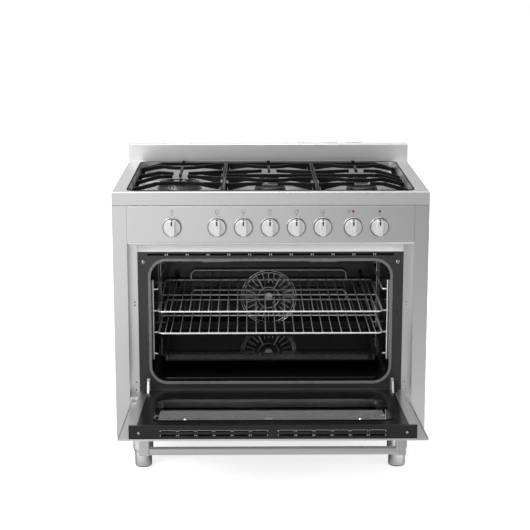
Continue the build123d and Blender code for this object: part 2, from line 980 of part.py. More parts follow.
# Enamelled tray: pressed pan with a lip that rests on the lowest rungs
tray_bottom_of_lip = first_level - rack_wire
tray_near = front + oven_setback + tray_front_gap
tray_far = front + liner_back - tray_back_gap
tray_middle = (tray_near + tray_far) / 2
tray_length = tray_far - tray_near
with BuildPart() as oven_tray:
    with BuildSketch(level(tray_bottom_of_lip)):
        with Locations((0, tray_middle)):
            RectangleRounded(rack_width, tray_length, tray_corner + tray_lip / 2)
    extrude(amount=enamel)
    with BuildSketch(level(tray_bottom_of_lip)):
        with Locations((0, tray_middle)):
            RectangleRounded(rack_width - 2 * tray_lip, tray_length - 2 * tray_lip, tray_corner)
    extrude(amount=-tray_depth)
    with BuildSketch(level(tray_bottom_of_lip + enamel)):
        with Locations((0, tray_middle)):
            RectangleRounded(
                rack_width - 2 * (tray_lip + enamel),
                tray_length - 2 * (tray_lip + enamel),
                tray_corner - enamel,
            )
    extrude(amount=-tray_depth, mode=Mode.SUBTRACT)
    pan_faces = oven_tray.faces().filter_by(Axis.Z).sort_by(Axis.Z)
    fillet(pan_faces[1].edges(), radius=tray_edge - enamel)
    fillet(oven_tray.faces().sort_by(Axis.Z)[0].edges(), radius=tray_edge)
    with BuildSketch(level(tray_bottom_of_lip)):
        with Locations((0, tray_near)):
            Rectangle(tray_dip_length, tray_dip)
    extrude(amount=enamel, mode=Mode.SUBTRACT)
save(oven_tray, "oven_tray")

# Fan: motor behind the pocket, bladed wheel inside it, wire guard over it
with BuildPart() as fan_motor:
    with BuildSketch(upright(fan_back)):
        with Locations((0, fan_height)):
            Circle(motor_plate)
    extrude(amount=-enamel)
    with BuildSketch(upright(fan_back + enamel)):
        with Locations((0, fan_height)):
            Circle(motor_radius)
    extrude(amount=-motor_length)
    fillet(fan_motor.faces().sort_by(Axis.Y)[-1].edges(), radius=motor_edge)
    with BuildSketch(upright(fan_back)):
        with Locations((0, fan_height)):
            Circle(motor_shaft_radius + running_fit)
    extrude(amount=-motor_length / 2, mode=Mode.SUBTRACT)
save(fan_motor, "fan_motor")

wheel_back = fan_back - enamel - fan_gap
with BuildPart() as fan_wheel:
    with BuildSketch(upright(wheel_back)):
        with Locations((0, fan_height)):
            Circle(fan_radius)
    extrude(amount=blade_thickness)
    with BuildSketch(upright(wheel_back)):
        with Locations((0, fan_height)):
            Circle(fan_hub_radius)
            with PolarLocations((fan_radius + blade_inner) / 2, fan_blades):
                Rectangle(fan_radius - blade_inner, blade_thickness)
    extrude(amount=blade_depth)
    with BuildSketch(upright(wheel_back)):
        with Locations((0, fan_height)):
            Circle(motor_shaft_radius)
    extrude(amount=-(fan_gap + enamel + motor_length / 3))
save(fan_wheel, "fan_wheel")

guard_behind = liner_back - guard_wire
with BuildPart() as fan_guard:
    for radius in (guard_inner_ring, guard_ring - guard_step, guard_ring):
        with Locations(facing(0, guard_behind, fan_height)):
            Torus(radius, guard_wire)
    with BuildSketch(upright(guard_behind + guard_wire / 2)):
        with Locations((0, fan_height)):
            with PolarLocations((guard_ring + guard_inner_ring) / 2, guard_spokes):
                Rectangle(guard_ring - guard_inner_ring, guard_wire)
    extrude(amount=guard_wire)
save(fan_guard, "fan_guard")

# Lamp lenses on the back wall
with BuildPart() as oven_lamps:
    with BuildSketch(upright(liner_back)):
        with Locations((-lamp_x, lamp_height), (lamp_x, lamp_height)):
            RectangleRounded(lamp_width, lamp_length, lamp_width / 2 - seam)
    extrude(amount=lamp_proud)
    fillet(oven_lamps.faces().group_by(Axis.Y)[0].edges(), radius=lamp_edge)
save(oven_lamps, "oven_lamps")

# Grill element, a bent tube under the oven roof
element_height = opening_top - element_drop
near = front + liner_front + element_front
far = front + liner_back
with BuildPart() as grill_element:
    with BuildLine() as tube:
        FilletPolyline(
            (-element_half, far, element_height),
            (-element_half, near, element_height),
            (-element_half + element_step, near, element_height),
            (-element_half + element_step, far - element_turn, element_height),
            (element_half - element_step, far - element_turn, element_height),
            (element_half - element_step, near, element_height),
            (element_half, near, element_height),
            (element_half, far, element_height),
            radius=element_bend,
        )
    with BuildSketch(Plane(origin=tube.line @ 0, z_dir=tube.line % 0)):
        Circle(element_radius)
    sweep()
save(grill_element, "grill_element")

# Door, on a plane that turns about the hinge axis: x across, y up the door, z outwards
door_plane = Plane(
    origin=(0, front + hinge_inset, hinge_height),
    x_dir=(1, 0, 0),
    z_dir=(0, -cos(open_turn), -sin(open_turn)),
)
skin_outer = hinge_inset
skin_inner = skin_outer - sheet
arm_top = skin_outer - skin_edge - seam
inner_face = skin_outer - door_thickness
body_depth = skin_inner - inner_face
frame_length = door_length - cap_length
frame_middle = door_bottom + frame_length / 2
door_middle = door_bottom + door_length / 2

with BuildPart() as door_skin:
    with BuildSketch(door_plane.offset(skin_outer)):
        with Locations((0, door_middle)):
            RectangleRounded(skin_width, door_length, skin_corner)
    extrude(amount=-skin_edge)
    with BuildSketch(door_plane.offset(skin_inner)):
        with Locations((0, door_middle)):
            Rectangle(skin_width - 2 * sheet, door_length - 2 * sheet)
    extrude(amount=-skin_edge, mode=Mode.SUBTRACT)
    with BuildSketch(door_plane.offset(skin_outer)):
        with Locations((0, (window_low + window_high) / 2)):
            RectangleRounded(window_width, window_high - window_low, window_corner)
    extrude(amount=-sheet, mode=Mode.SUBTRACT)
save(door_skin, "door_skin")

# Door frame: folded channel round both sides and the hinge end, slotted for the hinge hooks
with BuildPart() as door_frame:
    with BuildSketch(door_plane.offset(skin_inner)):
        with Locations((0, frame_middle + sheet / 2)):
            Rectangle(body_width, frame_length - sheet)
    extrude(amount=-body_depth)
    with BuildSketch(door_plane.offset(skin_inner)):
        with Locations((0, frame_middle + sheet)):
            Rectangle(body_width - 2 * sheet, frame_length - 2 * sheet)
    extrude(amount=-(body_depth - sheet), mode=Mode.SUBTRACT)
    with BuildSketch(door_plane.offset(inner_face + sheet)):
        with Locations((0, frame_middle + sheet)):
            Rectangle(inner_panel_width + 2 * seam, frame_length - 2 * sheet)
    extrude(amount=-sheet, mode=Mode.SUBTRACT)
    with BuildSketch(door_plane.offset(skin_outer - skin_edge)):
        for x in (-hinge_x, hinge_x):
            with Locations((x, (hook_rise + hinge_slot_rise) / 2)):
                Rectangle(hinge_slot, hook_rise + hinge_slot_rise)
    extrude(amount=-body_depth, mode=Mode.SUBTRACT)
save(door_frame, "door_frame")

# Inner panel with a bead round its window, cut back at the hinge hooks
panel_low = door_bottom + 2 * sheet + seam
panel_high = door_bottom + frame_length - seam
with BuildPart() as door_inner_panel:
    with BuildSketch(door_plane.offset(inner_face)):
        with Locations((0, (panel_low + panel_high) / 2)):
            Rectangle(inner_panel_width, panel_high - panel_low)
    extrude(amount=enamel)
    window_middle = (inner_window_low + inner_window_high) / 2
    inner_window_height = inner_window_high - inner_window_low
    with BuildSketch(door_plane.offset(inner_face)):
        with Locations((0, window_middle)):
            RectangleRounded(
                inner_window_width + 2 * bead_width,
                inner_window_height + 2 * bead_width,
                inner_window_corner + bead_width,
            )
    extrude(amount=-bead_proud)
    with BuildSketch(door_plane.offset(inner_face - bead_proud)):
        with Locations((0, window_middle)):
            RectangleRounded(inner_window_width, inner_window_height, inner_window_corner)
    extrude(amount=bead_proud + enamel, mode=Mode.SUBTRACT)
    with BuildSketch(door_plane.offset(inner_face)):
        for x in (-hinge_x, hinge_x):
            with Locations((x, (hook_rise + hinge_slot_rise) / 2)):
                Rectangle(hinge_slot, hook_rise + hinge_slot_rise)
    extrude(amount=enamel, mode=Mode.SUBTRACT)
save(door_inner_panel, "door_inner_panel")

with BuildPart() as door_inner_glass:
    with BuildSketch(door_plane.offset(inner_face + enamel)):
        with Locations((0, window_middle)):
            Rectangle(inner_window_width + 2 * glass_lap, inner_window_height + 2 * glass_lap)
    extrude(amount=glass)
save(door_inner_glass, "door_inner_glass")

with BuildPart() as door_outer_glass:
    with BuildSketch(door_plane.offset(skin_inner)):
        with Locations((0, (window_low + window_high) / 2)):
            Rectangle(window_width + 2 * glass_lap, window_high - window_low + 2 * glass_lap)
    extrude(amount=-glass)
save(door_outer_glass, "door_outer_glass")

# Top cap: a channel across the free edge with two rows of air slots
cap_plane = Plane(
    origin=door_plane.from_local_coords((0, door_top - sheet, 0)),
    x_dir=(1, 0, 0),
    z_dir=door_plane.y_dir,
)
cap_middle = door_top - sheet - (cap_length - sheet) / 2
with BuildPart() as door_top_cap:
    with BuildSketch(door_plane.offset(skin_inner)):
        with Locations((0, cap_middle)):
            Rectangle(body_width, cap_length - sheet)
    extrude(amount=-body_depth)
    with BuildSketch(door_plane.offset(skin_inner - cap_wall)):
        with Locations((0, cap_middle - cap_wall)):
            Rectangle(body_width - 2 * cap_wall, cap_length - sheet)
    extrude(amount=-(body_depth - 2 * cap_wall), mode=Mode.SUBTRACT)
    row_middle = (cap_slots - 1) / 2 * cap_slot_pitch + cap_slot_middle + cap_slot_length / 2
    with BuildSketch(cap_plane):
        for side in (-1, 1):
            with Locations((side * row_middle, -(skin_inner + inner_face) / 2)):
                with GridLocations(cap_slot_pitch, cap_slot_rows, cap_slots, 2):
                    SlotOverall(cap_slot_length, cap_slot_height)
    extrude(amount=-cap_wall, mode=Mode.SUBTRACT)
save(door_top_cap, "door_top_cap")

# Handle: a rounded bar between two end brackets
handle_up = door_top - handle_from_edge
bracket_x = (handle_length - handle_bracket) / 2
bar_half = bracket_x - handle_bracket / 2
with BuildPart() as door_handle:
    with BuildSketch(door_plane.offset(skin_outer)):
        with Locations((-bracket_x, handle_up), (bracket_x, handle_up)):
            RectangleRounded(handle_bracket, handle_bracket_height, handle_corner)
    extrude(amount=handle_bracket_reach)
    outwards = Axis(door_plane.origin, door_plane.z_dir)
    fillet(door_handle.faces().group_by(outwards)[-1].edges(), radius=handle_corner / 2)
    bar_start = door_plane.from_local_coords((-bar_half, handle_up, skin_outer + handle_bar_reach))
    with BuildSketch(Plane(origin=bar_start, x_dir=door_plane.y_dir, z_dir=(1, 0, 0))):
        RectangleRounded(handle_bar, handle_bar, handle_bar_corner)
    extrude(amount=2 * bar_half)
save(door_handle, "door_handle")


def hinge_plane(x, up):
    """Plane across the hinge axis at x, with its own x up the door and its y outwards."""
    return Plane(origin=(x, front + hinge_inset, hinge_height), x_dir=up, z_dir=(1, 0, 0))


# Hinge arms in the door: two cheeks, a plate on the skin and the pin
cheek_offset = hook_thickness / 2 + arm_gap
with BuildPart() as hinge_arms:
    for x in (-hinge_x, hinge_x):
        for inner in (-cheek_offset - arm_thickness, cheek_offset):
            with BuildSketch(hinge_plane(x + inner, door_plane.y_dir)):
                Circle(eye_radius)
                with Locations((arm_length / 2, arm_top - eye_radius)):
                    Rectangle(arm_length, 2 * eye_radius)
            extrude(amount=arm_thickness)
        with BuildSketch(door_plane.offset(skin_inner)):
            with Locations((x, arm_length - arm_plate / 2)):
                Rectangle(2 * (cheek_offset + arm_thickness), arm_plate)
        extrude(amount=-(skin_inner - arm_top + arm_plate_thickness))
        pin_half = cheek_offset + arm_thickness + pin_head
        with BuildSketch(hinge_plane(x - pin_half, door_plane.y_dir)):
            Circle(pin_radius)
        extrude(amount=2 * pin_half)
save(hinge_arms, "hinge_arms")

# Hinge receivers on the oven front: a plate and a hook with the eye for the pin
hook_reach = oven_setback - hinge_inset - receiver_plate
with BuildPart() as hinge_receivers:
    for x in (-hinge_x, hinge_x):
        with BuildSketch(hinge_plane(x - hook_thickness / 2, (0, 0, 1))):
            Circle(eye_radius)
            with BuildLine():
                Polyline(
                    (0, eye_radius),
                    (hook_root, 0),
                    (hook_rise, -hook_reach / 2),
                    (hook_rise, -hook_reach),
                    (hook_root, -hook_reach),
                    (0, -eye_radius),
                    close=True,
                )
            make_face()
            Circle(pin_radius + running_fit, mode=Mode.SUBTRACT)
        extrude(amount=hook_thickness)
        with BuildSketch(facing(x, oven_setback, hinge_height + (hook_rise + hook_root) / 2)):
            Rectangle(receiver_plate_width, hook_rise - hook_root + receiver_plate_rise)
        extrude(amount=receiver_plate)
save(hinge_receivers, "hinge_receivers")

# Legs: a tapered sleeve under the base pan and a levelling foot inside it
leg_places = {
    "front_left": (-leg_x, front + leg_behind),
    "front_right": (leg_x, front + leg_behind),
    "rear_left": (-leg_x, front + depth - leg_behind),
    "rear_right": (leg_x, front + depth - leg_behind),
}
with BuildPart() as leg_sleeves:
    for x, y in leg_places.values():
        with BuildSketch(Plane(origin=(x, y, 0), x_dir=(1, 0, 0), z_dir=(0, -1, 0))):
            with BuildLine():
                Polyline(
                    (foot_neck + foot_gap, cabinet_floor),
                    (foot_neck + foot_gap, sleeve_bottom),
                    (sleeve_radius - sleeve_step, sleeve_bottom),
                    (sleeve_radius, sleeve_bottom + sleeve_taper),
                    (sleeve_radius, cabinet_floor),
                    close=True,
                )
            make_face()
        revolve(axis=Axis((x, y, 0), (0, 0, 1)))
save(leg_sleeves, "leg_sleeves")

for name, (x, y) in leg_places.items():
    with BuildPart() as foot:
        with BuildSketch(level(0)):
            with Locations((x, y)):
                Circle(foot_radius)
        extrude(amount=sleeve_bottom - foot_gap)
        fillet(foot.edges().filter_by(GeomType.CIRCLE).group_by(Axis.Z)[0], radius=foot_edge)
        with BuildSketch(level(sleeve_bottom - foot_gap)):
            with Locations((x, y)):
                Circle(foot_neck)
        extrude(amount=foot_reach - sleeve_bottom + foot_gap)
    save(foot, f"foot_{name}")

# Terminal box on the back panel with a cable gland below it
with BuildPart() as terminal_box:
    with BuildSketch(upright(back_behind + sheet)):
        with Locations((-terminal_x, terminal_z)):
            RectangleRounded(terminal_width, terminal_height, terminal_corner)
    extrude(amount=-terminal_depth)
    gland_y = front + back_behind + sheet + terminal_depth / 2
    with BuildSketch(level(terminal_z - terminal_height / 2)):
        with Locations((-terminal_x, gland_y)):
            Circle(gland_radius)
    extrude(amount=-gland_length)
    with BuildSketch(level(terminal_z - terminal_height / 2 - gland_length)):
        with Locations((-terminal_x, gland_y)):
            Circle(gland_bore)
    extrude(amount=gland_bore_depth, mode=Mode.SUBTRACT)
save(terminal_box, "terminal_box")
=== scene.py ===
"""Finishes, fine detail and a plain studio for a freestanding range with its oven door let down."""

import json
from math import cos, pi, radians, sin

import bmesh
import bpy
from bpy.props import FloatProperty, FloatVectorProperty, PointerProperty
from mathutils import Matrix, Vector


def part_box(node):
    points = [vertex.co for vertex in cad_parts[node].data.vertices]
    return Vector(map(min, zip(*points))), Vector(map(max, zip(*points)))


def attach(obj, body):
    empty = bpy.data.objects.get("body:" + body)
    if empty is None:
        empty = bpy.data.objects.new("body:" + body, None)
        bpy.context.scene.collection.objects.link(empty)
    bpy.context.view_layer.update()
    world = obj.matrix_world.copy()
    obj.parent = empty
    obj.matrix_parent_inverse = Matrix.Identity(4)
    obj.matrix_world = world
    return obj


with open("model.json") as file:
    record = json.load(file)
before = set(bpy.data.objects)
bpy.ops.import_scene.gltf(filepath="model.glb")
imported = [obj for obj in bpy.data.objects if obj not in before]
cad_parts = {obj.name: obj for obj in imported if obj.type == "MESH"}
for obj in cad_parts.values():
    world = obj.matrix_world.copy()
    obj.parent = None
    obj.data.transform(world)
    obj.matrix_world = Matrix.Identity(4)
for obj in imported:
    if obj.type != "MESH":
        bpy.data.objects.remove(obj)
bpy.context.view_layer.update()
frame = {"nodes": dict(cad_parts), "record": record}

bl_info = {
    "name": "Freestanding Range",
    "version": (1, 0, 0),
    "blender": (4, 5, 0),
    "location": "View3D > Sidebar > Range",
    "description": "Dresses a freestanding range with its finishes, small hardware and studio",
    "category": "Object",
}

nodes = frame["nodes"]
joints = frame["record"]["behaviour"]["joints"]
door_joint = next(joint for joint in joints if joint["name"] == "door_hinge")
burners = range(1, 6)
knobs = [f"burner_knob_{n}" for n in burners] + ["timer_knob", "function_knob", "thermostat_knob"]

# Directions
FORWARD = (0, -1, 0)
REARWARD = (0, 1, 0)
UP = (0, 0, 1)

# Planes and levels of the range, in metres
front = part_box("control_panel")[0][1]
# Top of the panel's lower bend; below it the panel is light grey non-metal, a painted highlight
panel_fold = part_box("control_panel")[0][2] + 0.034
oven_face = front + 0.043
vent_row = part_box("oven_front_frame")[1][2] - 0.008
# Height of the feet's pads, depths of the knobs' metal, and depth of the fan's blades, behind which the
# fan's disc is painted shade
FOOT_PAD = 0.0035
KNOB_METAL = 0.0215
FAN_BLADE = 0.018

# The door's own levels: up the door from the hinge line, and outwards from it
CAP_TOP = 0.4548
STUD_HEIGHT = 0.385
CAP_MIDDLE = -0.0126
INNER_PANE = -0.0304
SHIELD_LEVEL = 0.0014

# Brushing or grain of a metal, in lines per metre along x, y and z, and its depth in metres
ACROSS = (2, 1600, 1600)
UPRIGHT = (1600, 1600, 2)
TURNED = (900, 900, 12)
COATED = (60, 60, 60)
POLISHED = (90, 90, 90)
DRAWN = (200, 200, 200)
MACHINED = (300, 300, 300)
PIPE = (400, 400, 400)
CAST = (500, 500, 500)
GRAIN_DEPTH = 0.0004

# Darkest and lightest shade of a finish over its surface, as shares of its colour
GRAIN_SHADES = (0.94, 1.05)
SKIN_SHADES = (0.8, 1.2)

# Plain colours
BLACK = (0.003, 0.003, 0.003)
SATIN_BLACK = (0.012, 0.012, 0.012)
PAD_BLACK = (0.02, 0.02, 0.02)
WHITE = (1, 1, 1, 1)
# Tint of plated metal where it is seen edge on
DARK_EDGE = (0.03, 0.03, 0.03, 1)

# Angle from which an edge is shaded sharp
SHARP_EDGE = radians(35)

# Half section of a screw head, as shares of its radius and of its rise
SCREW_PROFILE = ((0, 0.43), (0.38, 0.43), (0.42, 1), (0.72, 0.9), (0.94, 0.52), (1, 0), (0, 0))
# Rise of a head as a share of its radius
PAN_HEAD = 0.58
LOW_HEAD = 0.35
TALL_HEAD = 1.0


class RangeFinishes(bpy.types.PropertyGroup):
    """Colours of the range's finishes."""

    steel: FloatVectorProperty(
        name="Stainless", description="Brushed stainless steel of the cabinet and door", subtype="COLOR",
        default=(0.64, 0.64, 0.64), min=0, max=1,
    )
    chrome: FloatVectorProperty(
        name="Chrome", description="Chrome plate of the legs, clips and studs", subtype="COLOR",
        default=(0.9, 0.9, 0.91), min=0, max=1,
    )
    wire: FloatVectorProperty(
        name="Rack wire", description="Bright wire of the racks and their guides", subtype="COLOR",
        default=(0.92, 0.92, 0.91), min=0, max=1,
    )
    knob: FloatVectorProperty(
        name="Knobs", description="Satin silver of the knobs", subtype="COLOR",
        default=(0.7, 0.7, 0.705), min=0, max=1,
    )
    iron: FloatVectorProperty(
        name="Grates", description="Enamelled cast iron of the grates", subtype="COLOR",
        default=(0.006, 0.006, 0.0065), min=0, max=1,
    )
    cavity: FloatVectorProperty(
        name="Oven enamel", description="Black enamel inside the oven and on the door", subtype="COLOR",
        default=(0.008, 0.008, 0.009), min=0, max=1,
    )
    surround: FloatVectorProperty(
        name="Oven front", description="Dark grey enamel of the frame round the oven", subtype="COLOR",
        default=(0.024, 0.024, 0.025), min=0, max=1,
    )
    plastic: FloatVectorProperty(
        name="Plastic", description="Black plastic of the door's top cap", subtype="COLOR",
        default=(0.012, 0.012, 0.0125), min=0, max=1,
    )
    seal: FloatVectorProperty(
        name="Oven seal", description="Grey rubber of the seal round the oven", subtype="COLOR",
        default=(0.16, 0.16, 0.162), min=0, max=1,
    )
    ink: FloatVectorProperty(
        name="Panel marks", description="Grey ink of the marks on the panel", subtype="COLOR",
        default=(0.16, 0.16, 0.165), min=0, max=1,
    )
    pilot: FloatVectorProperty(
        name="Pilot lenses", description="Red of the two pilot lenses", subtype="COLOR",
        default=(0.3, 0.015, 0.012), min=0, max=1,
    )


class RangeDetails(bpy.types.PropertyGroup):
    """Sizes of the small hardware and prints."""

    ink: FloatProperty(
        name="Print", description="Thickness of the marks on the panel", unit="LENGTH",
        default=0.0002, min=0.0001,
    )
    pointer: FloatProperty(
        name="Pointer", description="Width of the pointer in each knob", unit="LENGTH",
        default=0.0044, min=0.001,
    )
    post_screw: FloatProperty(
        name="Post screws", description="Head radius of the screws beside the oven", unit="LENGTH",
        default=0.0026, min=0.001,
    )
    corner_screw: FloatProperty(
        name="Corner screws", description="Head radius of the screws in the top corners", unit="LENGTH",
        default=0.006, min=0.001,
    )
    back_screw: FloatProperty(
        name="Back screws", description="Head radius of the screws of the back panel", unit="LENGTH",
        default=0.004, min=0.001,
    )
    box_screw: FloatProperty(
        name="Box screws", description="Head radius of the screws of the terminal box", unit="LENGTH",
        default=0.003, min=0.001,
    )
    cap_screw: FloatProperty(
        name="Cap screws", description="Head radius of the screws in the door's top cap", unit="LENGTH",
        default=0.0042, min=0.001,
    )
    stud: FloatProperty(
        name="Studs", description="Radius of the two studs on the inner window", unit="LENGTH",
        default=0.0045, min=0.001,
    )
    # Width of the bright pieces at the vent slots' ends, which are painted highlights
    clip: FloatProperty(
        name="Vent clips", description="Width of the bright ends of the vent slots", unit="LENGTH",
        default=0.0014, min=0.0005,
    )
    sheet: FloatProperty(
        name="Sheet", description="Thickness of the light shield and the vent baffle", unit="LENGTH",
        default=0.0006, min=0.0003,
    )


class RangeStudio(bpy.types.PropertyGroup):
    """Camera and lamps."""

    eye: FloatVectorProperty(
        name="Camera", description="Where the camera stands", subtype="TRANSLATION", unit="LENGTH",
        default=(-0.057, -4.11, 1.512),
    )
    aim: FloatVectorProperty(
        name="Aim", description="Point at the middle of the picture", subtype="TRANSLATION", unit="LENGTH",
        default=(-0.0165, -0.094, 0.634),
    )
    lens: FloatProperty(
        name="Lens", description="Focal length in millimetres", unit="CAMERA", default=97.9, min=10,
    )
    sensor: FloatProperty(
        name="Sensor", description="Width of the picture in the camera", unit="CAMERA", default=36, min=1,
    )
    key: FloatProperty(
        name="Key lamp", description="Power of the large lamp on the left", unit="POWER", default=95, min=0,
    )
    fill: FloatProperty(
        name="Fill lamp", description="Power of the lamp on the right", unit="POWER", default=18, min=0,
    )
    top: FloatProperty(
        name="Top lamp", description="Power of the overhead lamp", unit="POWER", default=50, min=0,
    )
    oven: FloatProperty(
        name="Oven lamp", description="Power of the lamp into the oven", unit="POWER", default=14, min=0,
    )


def finishes():
    return bpy.context.scene.range_finishes


def details():
    return bpy.context.scene.range_details


def studio():
    return bpy.context.scene.range_studio


def link(tree, *pairs):
    """Join pairs of an output and an input."""
    for output, target in pairs:
        tree.links.new(output, target)


def add_node(tree, kind, **settings):
    """New node with its properties set, and its unlinked inputs by name."""
    node = tree.nodes.new(kind)
    for key, value in settings.items():
        if hasattr(node, key):
            setattr(node, key, value)
        else:
            node.inputs[key.replace("_", " ").title()].default_value = value
    return node


def new_group(name, inputs, outputs):
    """Empty shader group with its sockets, as (group, input node, output node)."""
    group = bpy.data.node_groups.new(name, "ShaderNodeTree")
    for socket, kind, default in inputs:
        made = group.interface.new_socket(socket, in_out="INPUT", socket_type=kind)
        if default is not None:
            made.default_value = default
    for socket in outputs:
        group.interface.new_socket(socket, in_out="OUTPUT", socket_type="NodeSocketFloat")
    return group, group.nodes.new("NodeGroupInput"), group.nodes.new("NodeGroupOutput")


def grain_group():
    """Fine lines of a brushed or polished metal, drawn out along the vector it is given."""
    inputs = [
        ("Vector", "NodeSocketVector", None),
        ("Spread", "NodeSocketFloat", 0.1),
        ("Base", "NodeSocketFloat", 0.3),
    ]
    group, start, end = new_group("brushed_grain", inputs, ["Roughness", "Height", "Tone"])
    fine = add_node(group, "ShaderNodeTexNoise", Scale=1.0, Detail=5.0, Roughness=0.65)
    broad = add_node(group, "ShaderNodeTexNoise", Scale=0.13, Detail=2.0)
    spread = add_node(group, "ShaderNodeMath", operation="MULTIPLY")
    rough = add_node(group, "ShaderNodeMath", operation="ADD")
    tone = add_node(group, "ShaderNodeMath", operation="MULTIPLY_ADD")
    # The tone swings over the middle half of its range
    tone.inputs[1].default_value = 0.5
    tone.inputs[2].default_value = 0.25
    link(
        group,
        (start.outputs["Vector"], fine.inputs["Vector"]),
        (start.outputs["Vector"], broad.inputs["Vector"]),
        (fine.outputs["Fac"], spread.inputs[0]),
        (start.outputs["Spread"], spread.inputs[1]),
        (spread.outputs[0], rough.inputs[0]),
        (start.outputs["Base"], rough.inputs[1]),
        (broad.outputs["Fac"], tone.inputs[0]),
        (rough.outputs[0], end.inputs["Roughness"]),
        (fine.outputs["Fac"], end.inputs["Height"]),
        (tone.outputs[0], end.inputs["Tone"]),
    )
    return group


def skin_group():
    """Slightly uneven skin of a casting or an enamel, with broad handling marks."""
    inputs = [
        ("Vector", "NodeSocketVector", None),
        ("Pitch", "NodeSocketFloat", 900.0),
        ("Base", "NodeSocketFloat", 0.4),
        ("Spread", "NodeSocketFloat", 0.15),
    ]
    group, start, end = new_group("uneven_skin", inputs, ["Roughness", "Height", "Tone"])
    pebble = add_node(group, "ShaderNodeTexNoise", Detail=3.0)
    marks = add_node(group, "ShaderNodeTexNoise", Scale=14.0, Detail=4.0)
    spread = add_node(group, "ShaderNodeMath", operation="MULTIPLY")
    rough = add_node(group, "ShaderNodeMath", operation="ADD")
    link(
        group,
        (start.outputs["Vector"], pebble.inputs["Vector"]),
        (start.outputs["Pitch"], pebble.inputs["Scale"]),
        (start.outputs["Vector"], marks.inputs["Vector"]),
        (marks.outputs["Fac"], spread.inputs[0]),
        (start.outputs["Spread"], spread.inputs[1]),
        (spread.outputs[0], rough.inputs[0]),
        (start.outputs["Base"], rough.inputs[1]),
        (rough.outputs[0], end.inputs["Roughness"]),
        (pebble.outputs["Fac"], end.inputs["Height"]),
        (marks.outputs["Fac"], end.inputs["Tone"]),
    )
    return group


def split_group():
    """Mask that turns from 0 to 1 where a place passes a level along a direction."""
    inputs = [
        ("Vector", "NodeSocketVector", None),
        ("Direction", "NodeSocketVector", None),
        ("Level", "NodeSocketFloat", 0.0),
    ]
    group, start, end = new_group("split_mask", inputs, ["Mask"])
    along = add_node(group, "ShaderNodeVectorMath", operation="DOT_PRODUCT")
    past = add_node(group, "ShaderNodeMath", operation="SUBTRACT")
    steep = add_node(group, "ShaderNodeMath", operation="MULTIPLY", use_clamp=True)
    # The change takes a quarter of a millimetre
    steep.inputs[1].default_value = 4000
    link(
        group,
        (start.outputs["Vector"], along.inputs[0]),
        (start.outputs["Direction"], along.inputs[1]),
        (along.outputs["Value"], past.inputs[0]),
        (start.outputs["Level"], past.inputs[1]),
        (past.outputs[0], steep.inputs[0]),
        (steep.outputs[0], end.inputs["Mask"]),
    )
    return group


def place_group(tree, name, maker, **values):
    """Shared group, made the first time, placed in a material with its own values."""
    node = tree.nodes.new("ShaderNodeGroup")
    node.node_tree = bpy.data.node_groups.get(name) or maker()
    for socket, value in values.items():
        node.inputs[socket].default_value = value
    return node


def new_material(name, **sockets):
    """Material with a Principled shader whose named sockets are set, as (material, tree, shader)."""
    material = bpy.data.materials.new(name)
    material.use_nodes = True
    tree = material.node_tree
    shader = tree.nodes["Principled BSDF"]
    for socket, value in sockets.items():
        shader.inputs[socket.replace("_", " ")].default_value = value
    return material, tree, shader


def scaled(colour, share):
    """Colour made darker or lighter, up to white."""
    return [min(1, channel * share) for channel in colour]


def shades(colour, shares):
    """Darkest and lightest shade of a colour over a surface."""
    return [scaled(colour, share) for share in shares]


def mix_colours(tree, mask, first=None, second=None):
    """Mix of two colours by a mask, as its node; a colour that is left out is linked later."""
    mix = add_node(tree, "ShaderNodeMix", data_type="RGBA")
    for socket, colour in zip(mix.inputs[6:8], (first, second)):
        if colour is not None:
            socket.default_value = (*colour, 1)
    tree.links.new(mask, mix.inputs[0])
    return mix


def bump_from(tree, height, strength, distance, shader):
    """Bump from a height into the shader's normal."""
    bump = add_node(tree, "ShaderNodeBump", Strength=strength, Distance=distance)
    link(tree, (height, bump.inputs["Height"]), (bump.outputs["Normal"], shader.inputs["Normal"]))


def brushed_metal(name, colour, stretch, rough, spread, bump=0.02, **sockets):
    """Metal with a brushed grain; stretch is the lines per metre along x, y and z."""
    material, tree, shader = new_material(name, **{"Metallic": 1.0, **sockets})
    place = add_node(tree, "ShaderNodeTexCoord")
    scale = add_node(tree, "ShaderNodeMapping", Scale=stretch)
    grain = place_group(tree, "brushed_grain", grain_group, Spread=spread, Base=rough)
    tint = mix_colours(tree, grain.outputs["Tone"], *shades(colour, GRAIN_SHADES))
    link(
        tree,
        (place.outputs["Object"], scale.inputs["Vector"]),
        (scale.outputs["Vector"], grain.inputs["Vector"]),
        (tint.outputs[2], shader.inputs["Base Color"]),
        (grain.outputs["Roughness"], shader.inputs["Roughness"]),
    )
    bump_from(tree, grain.outputs["Height"], bump, GRAIN_DEPTH, shader)
    return material


def two_tone(name, direction, level, before, past, stretch, rough, spread, **sockets):
    """Metal past a level along a direction, plain colour before it; a given Metallic holds for both."""
    material = brushed_metal(name, past, stretch, rough, spread, **sockets)
    tree = material.node_tree
    shader = tree.nodes["Principled BSDF"]
    metal = shader.inputs["Base Color"].links[0].from_socket
    place = add_node(tree, "ShaderNodeTexCoord")
    split = place_group(tree, "split_mask", split_group, Direction=direction, Level=level)
    blend = mix_colours(tree, split.outputs["Mask"], first=before)
    link(
        tree,
        (place.outputs["Object"], split.inputs["Vector"]),
        (metal, blend.inputs[7]),
        (blend.outputs[2], shader.inputs["Base Color"]),
    )
    if "Metallic" not in sockets:
        tree.links.new(split.outputs["Mask"], shader.inputs["Metallic"])
    return material


